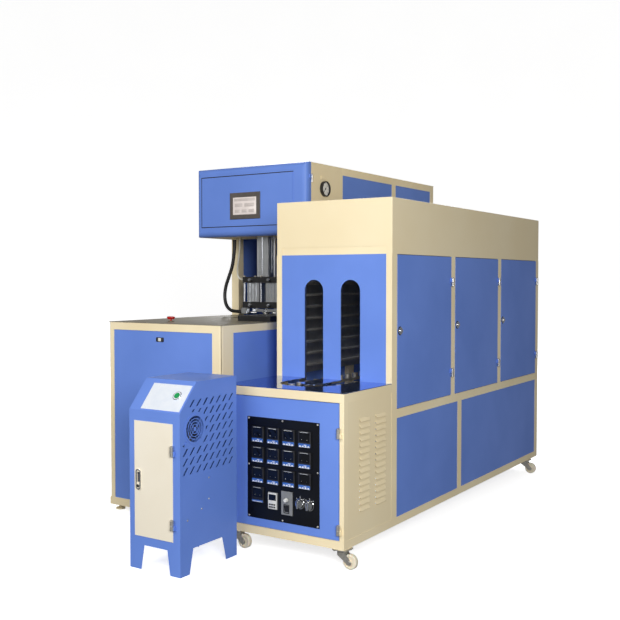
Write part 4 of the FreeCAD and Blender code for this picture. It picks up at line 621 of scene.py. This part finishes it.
# ---------------------------------------------------------------- blowing head
def dress_head():
    """Push-in fittings, tie-rod nuts, and the bright collar of the nozzle."""
    rod_low, rod_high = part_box("stretch_rod")
    head_x, head_y = (rod_low.x + rod_high.x) / 2, (rod_low.y + rod_high.y) / 2
    plate_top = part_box("stretch_cylinder")[0].z
    plate_half, tie_x, tie_y, cylinder_x = 0.062, 0.12, 0.054, 0.066
    plate_front = head_y - plate_half
    rods = [(head_x + dx, head_y + dy, plate_top) for dx in (-tie_x, 0, tie_x) for dy in (-tie_y, tie_y)]
    nuts = disc(rods, X, Y, 0.0085, [(0, 0), (0, 0.006), (0.001, 0.007)], 3)
    piece("tie_rod_nuts", [nuts], FINISH["zinc plate"], "root")
    stem = [(0.002, 0), (0.002, 0.006), (0, 0.007), (0, 0.013), (0.0015, 0.0145), (0.0015, 0.021),
            (0.003, 0.023)]
    ports = [(head_x + dx, plate_front, z) for dx in (-cylinder_x, cylinder_x) for z in (1.054, 1.199)]
    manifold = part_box("mould_clamp")[1].x + np.array([-0.03, -0.07, -0.11, -0.15])
    manifold_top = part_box("press_table")[1].z + 0.023
    tops = [(x, y, manifold_top) for x, y in zip(manifold, (-0.33, -0.21, -0.09, 0.03))]
    piece("air_fittings", [disc(ports, X, Z, 0.0095, stem, 5), disc(tops, X, Y, 0.0095, stem, 5)],
          FINISH["chrome plate"], "root")
    nozzle_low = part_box("blow_nozzle")[0]
    collar = disc((head_x, head_y, nozzle_low.z + 0.0095), X, Y, 0.0262,
                  [(0.001, 0), (0, 0.001), (0, 0.004), (0.001, 0.005), (0.0024, 0.005), (0.0024, 0)],
                  closed=True)
    bars = [disc((head_x + dx, head_y - 0.028, nozzle_low.z + 0.0105), Y, Z, 0.0058,
                 [(0.001, 0), (0, 0.001), (0, 0.022), (0.0012, 0.024), (0.0012, 0.048), (0.0024, 0.05)], 4)
            for dx in (-0.1, 0.058)]
    piece("nozzle_collar", [collar, *bars], FINISH["chrome plate"], "blow_nozzle")


# Control points of the two air lines in metres, from the box down to the head.
HOSE_ROUTE = [(-0.6315, 0.0341, 1.4655), (-0.6315, 0.0341, 1.395), (-0.637, 0.0321, 1.335),
              (-0.646, 0.0291, 1.275), (-0.668, 0.0261, 1.218), (-0.691, 0.0231, 1.16),
              (-0.697, 0.0191, 1.1), (-0.68, 0.0121, 1.047), (-0.639, 0.0031, 1.018),
              (-0.593, -0.0029, 1.014), (-0.542, -0.0029, 1.014)]
TUBES_ROUTE = [(-0.6325, 0.0841, 1.4655), (-0.6325, 0.0841, 1.395), (-0.636, 0.0821, 1.336),
               (-0.642, 0.0751, 1.28), (-0.638, 0.0671, 1.234), (-0.614, 0.0591, 1.199),
               (-0.574, 0.0591, 1.199)]


def air_line(name, route, diameter, material, node):
    """A hose on one smooth curve through its route's control points, from the box to the head."""
    curve = bpy.data.curves.new(name, "CURVE")
    curve.dimensions = "3D"
    line = curve.splines.new("NURBS")
    line.points.add(len(route) - 1)
    line.points.foreach_set("co", np.c_[np.array(route), np.ones(len(route))].ravel())
    line.order_u = 3
    line.use_endpoint_u = True
    line.resolution_u = 12
    curve.bevel_depth = diameter / 2
    curve.bevel_resolution = 6
    curve.use_fill_caps = True
    curve.materials.append(material)
    obj = bpy.data.objects.new(name, curve)
    bpy.context.scene.collection.objects.link(obj)
    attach(obj, "root")
    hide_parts(node)
    plain = curve.copy()
    plain.bevel_depth = 0
    points = mesh_of(plain)[0]


# ---------------------------------------------------------------- drive cabinet
def dress_cabinet():
    """Rivets on the side, a bead round the start button, and the bright pull on the door."""
    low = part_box("cabinet_body")[0]
    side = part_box("cabinet_fan")[1].x + 0.009
    rivets = [(side, low.y + dy, z)
              for dy, z in ((0.198, 0.376), (0.198, 0.287), (0.152, 0.254), (0.062, 0.224))]
    dome = [(0, 0), (0.0004, 0.0008), (0.0014, 0.0016), (0.003, 0.002)]
    piece("cabinet_rivets", [disc(rivets, Y, Z, 0.0042, dome, 4)], FINISH["zinc plate"], "root")
    joint = next(j for j in frame["record"]["behaviour"]["joints"] if j["name"] == "start_button_press")
    n = -np.array(joint["axis"])
    button_low, button_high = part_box("start_button")
    collar_top = np.array((button_low + button_high) / 2) + n * 0.011
    section = [(0.0008, -0.001), (0, 0.0004), (0, 0.001), (0.001, 0.002), (0.0024, 0.002), (0.0024, -0.001)]
    bead = disc(collar_top, X, np.cross(n, X), 0.0203, section, closed=True)
    piece("start_button_bead", [bead], FINISH["chrome plate"], "root")
    lock_low, lock_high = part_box("cabinet_handle")
    x, key_z = (lock_low.x + lock_high.x) / 2, lock_high.z - 0.007
    face = lock_low.y + 0.002
    section = [(0, -0.0002), (0, 0.0004), (0.0008, 0.001), (0.0016, 0.001), (0.0062, 0.001),
               (0.0062, -0.0002)]
    pull = pad((x, face, key_z + 0.027), X, Z, (0.0141, 0.0431), 0.0125, section, 6, closed=True)
    piece("door_pull", [pull], FINISH["chrome plate"], "cabinet_door")
    seal = disc((x, lock_low.y, key_z), X, Z, 0.0066, [(0.0002, 0), (0.0002, 0.0006), (0.001, 0.001)], 6)
    piece("door_pull_lock", [seal], FINISH["black ABS"], "cabinet_lock")


# ---------------------------------------------------------------- stage
def area_light(name, place, target, size, power, colour):
    """A square soft light at place, turned to face target."""
    light = bpy.data.lights.new(name, "AREA")
    light.shape = "SQUARE"
    light.size = size
    light.energy = power
    light.color = linear(colour)[:3]
    holder = bpy.data.objects.new(name, light)
    holder.location = place
    way = np.array(target) - np.array(place)
    holder.rotation_euler = (math.acos(-way[2] / np.linalg.norm(way)), 0,
                             math.atan2(way[1], way[0]) - math.pi / 2)
    bpy.context.scene.collection.objects.link(holder)


def make_stage(settings):
    """Pale floor that curves up all round, lights at the front left, front right and back, and the camera."""
    scene = bpy.context.scene
    scene.view_settings.view_transform = "Standard"
    # The floor is level out to level_reach metres and curves up as far as full_reach.
    level_reach, full_reach, steepness = 8, 15, 0.35
    radii = np.r_[0.01, np.linspace(1, full_reach, 43)]
    reach, turn = np.meshgrid(radii, np.linspace(0, 2 * np.pi, 64, endpoint=False), indexing="ij")
    rise = np.clip(reach - level_reach, 0, None) ** 2 * steepness
    verts = np.stack([reach * np.cos(turn), reach * np.sin(turn), rise], axis=-1).reshape(-1, 3)
    index = np.arange(reach.size).reshape(reach.shape)
    after = np.roll(index, -1, axis=1)
    faces = np.stack([index[:-1], index[1:], after[1:], after[:-1]], -1).reshape(-1, 4)
    mesh = bpy.data.meshes.new("floor")
    mesh.from_pydata(verts.tolist(), [], faces.tolist() + [index[0][::-1].tolist()])
    mesh.polygons.foreach_set("use_smooth", np.ones(len(mesh.polygons), bool))
    # Painted studio floor: matt white with no pattern, and a little light of its own so that it reads white.
    finish("matt white floor", (linear("#FBFBFB"), linear("#F8F8F8")), (0.8, 0.9), 900, 40, 0.01,
           Emission_Color=linear("#FFFFFF"), Emission_Strength=settings.floor_glow)
    mesh.materials.append(FINISH["matt white floor"])
    floor = bpy.data.objects.new("floor", mesh)
    floor.visible_diffuse = False
    floor.visible_glossy = False
    scene.collection.objects.link(floor)

    world = bpy.data.worlds.new("studio") if scene.world is None else scene.world
    scene.world = world
    world.use_nodes = True
    sky = world.node_tree.nodes["Background"]
    sky.inputs["Color"].default_value = linear("#FFFFFF")
    sky.inputs["Strength"].default_value = settings.sky_strength

    area_light("key", (-1.2, -7.0, 4.4), (0.0, -0.4, 0.9), 5.0, settings.key_power, "#FFFCF6")
    area_light("fill", (3.4, -4.0, 2.0), (0.4, -0.4, 0.9), 1.3, settings.fill_power, "#FFFFFF")
    area_light("back", (-3.0, 6.0, 4.5), (0.0, 0.4, 0.9), 4.0, settings.back_power, "#FFFFFF")

    camera = bpy.data.cameras.new("camera")
    camera.lens = settings.lens
    camera.sensor_width = 36.0
    camera.clip_end = 100.0
    holder = bpy.data.objects.new("camera", camera)
    holder.location = (2.62822, -4.15745, 1.205)
    holder.rotation_euler = (math.radians(88.0), 0.0, math.radians(33.07))
    scene.collection.objects.link(holder)
    scene.camera = holder


# ---------------------------------------------------------------- operators
class MACHINE_OT_stage(bpy.types.Operator):
    """Make the floor, lights and camera"""

    bl_idname = "machine.stage"
    bl_label = "Stage"

    def execute(self, context):
        make_stage(context.scene.machine_stage)
        return {"FINISHED"}


class MACHINE_OT_finishes(bpy.types.Operator):
    """Make every finish and paint the construction"""

    bl_idname = "machine.finishes"
    bl_label = "Finishes"

    def execute(self, context):
        make_finishes(context.scene.machine_colours)
        paint_frame()
        return {"FINISHED"}


class MACHINE_OT_air_lines(bpy.types.Operator):
    """Lay the air hose and the air tube"""

    bl_idname = "machine.air_lines"
    bl_label = "Air lines"

    def execute(self, context):
        sizes = context.scene.machine_sizes
        air_line("black_air_hose", HOSE_ROUTE, sizes.hose_diameter, FINISH["wrapped rubber"], "air_hose")
        air_line("white_air_tube", TUBES_ROUTE, sizes.tube_diameter, FINISH["polyurethane tube"], "air_tubes")
        return {"FINISHED"}


class MACHINE_OT_console(bpy.types.Operator):
    """Dress the console's instruments"""

    bl_idname = "machine.console"
    bl_label = "Console instruments"

    def execute(self, context):
        sizes = context.scene.machine_sizes
        dress_regulators(sizes)
        dress_controllers()
        dress_selectors()
        dress_panel_screws(sizes)
        return {"FINISHED"}


class MACHINE_OT_hinges(bpy.types.Operator):
    """Dress hinges and locks"""

    bl_idname = "machine.hinges"
    bl_label = "Hinges and locks"

    def execute(self, context):
        dress_hinges(context.scene.machine_sizes)
        dress_locks()
        return {"FINISHED"}


class MACHINE_OT_overhead(bpy.types.Operator):
    """Dress the gauge and the touch screen"""

    bl_idname = "machine.overhead"
    bl_label = "Overhead box"

    def execute(self, context):
        dress_gauge(context.scene.machine_sizes)
        dress_screen()
        return {"FINISHED"}


class MACHINE_OT_head(bpy.types.Operator):
    """Dress the blowing head"""

    bl_idname = "machine.head"
    bl_label = "Blowing head"

    def execute(self, context):
        dress_head()
        return {"FINISHED"}


class MACHINE_OT_cabinet(bpy.types.Operator):
    """Dress the drive cabinet"""

    bl_idname = "machine.cabinet"
    bl_label = "Drive cabinet"

    def execute(self, context):
        dress_cabinet()
        return {"FINISHED"}


STEPS = (MACHINE_OT_finishes, MACHINE_OT_stage, MACHINE_OT_air_lines, MACHINE_OT_console, MACHINE_OT_hinges,
         MACHINE_OT_overhead, MACHINE_OT_head, MACHINE_OT_cabinet)


class MACHINE_PT_panel(bpy.types.Panel):
    """Lists the machine's operators"""

    bl_idname = "MACHINE_PT_panel"
    bl_label = "Blow moulding machine"
    bl_space_type = "VIEW_3D"
    bl_region_type = "UI"
    bl_category = "Machine"

    def draw(self, context):
        for step in STEPS:
            self.layout.operator(step.bl_idname)


CLASSES = (MachineColours, MachineSizes, StageSettings, *STEPS, MACHINE_PT_panel)


def register():
    for cls in CLASSES:
        bpy.utils.register_class(cls)
    bpy.types.Scene.machine_colours = PointerProperty(type=MachineColours)
    bpy.types.Scene.machine_sizes = PointerProperty(type=MachineSizes)
    bpy.types.Scene.machine_stage = PointerProperty(type=StageSettings)


def unregister():
    del bpy.types.Scene.machine_colours
    del bpy.types.Scene.machine_sizes
    del bpy.types.Scene.machine_stage
    for cls in reversed(CLASSES):
        bpy.utils.unregister_class(cls)


def main():
    """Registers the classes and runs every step."""
    register()
    for step in STEPS:
        group, action = step.bl_idname.split(".")
        getattr(getattr(bpy.ops, group), action)()
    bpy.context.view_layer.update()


if __name__ == "__main__":
    main()
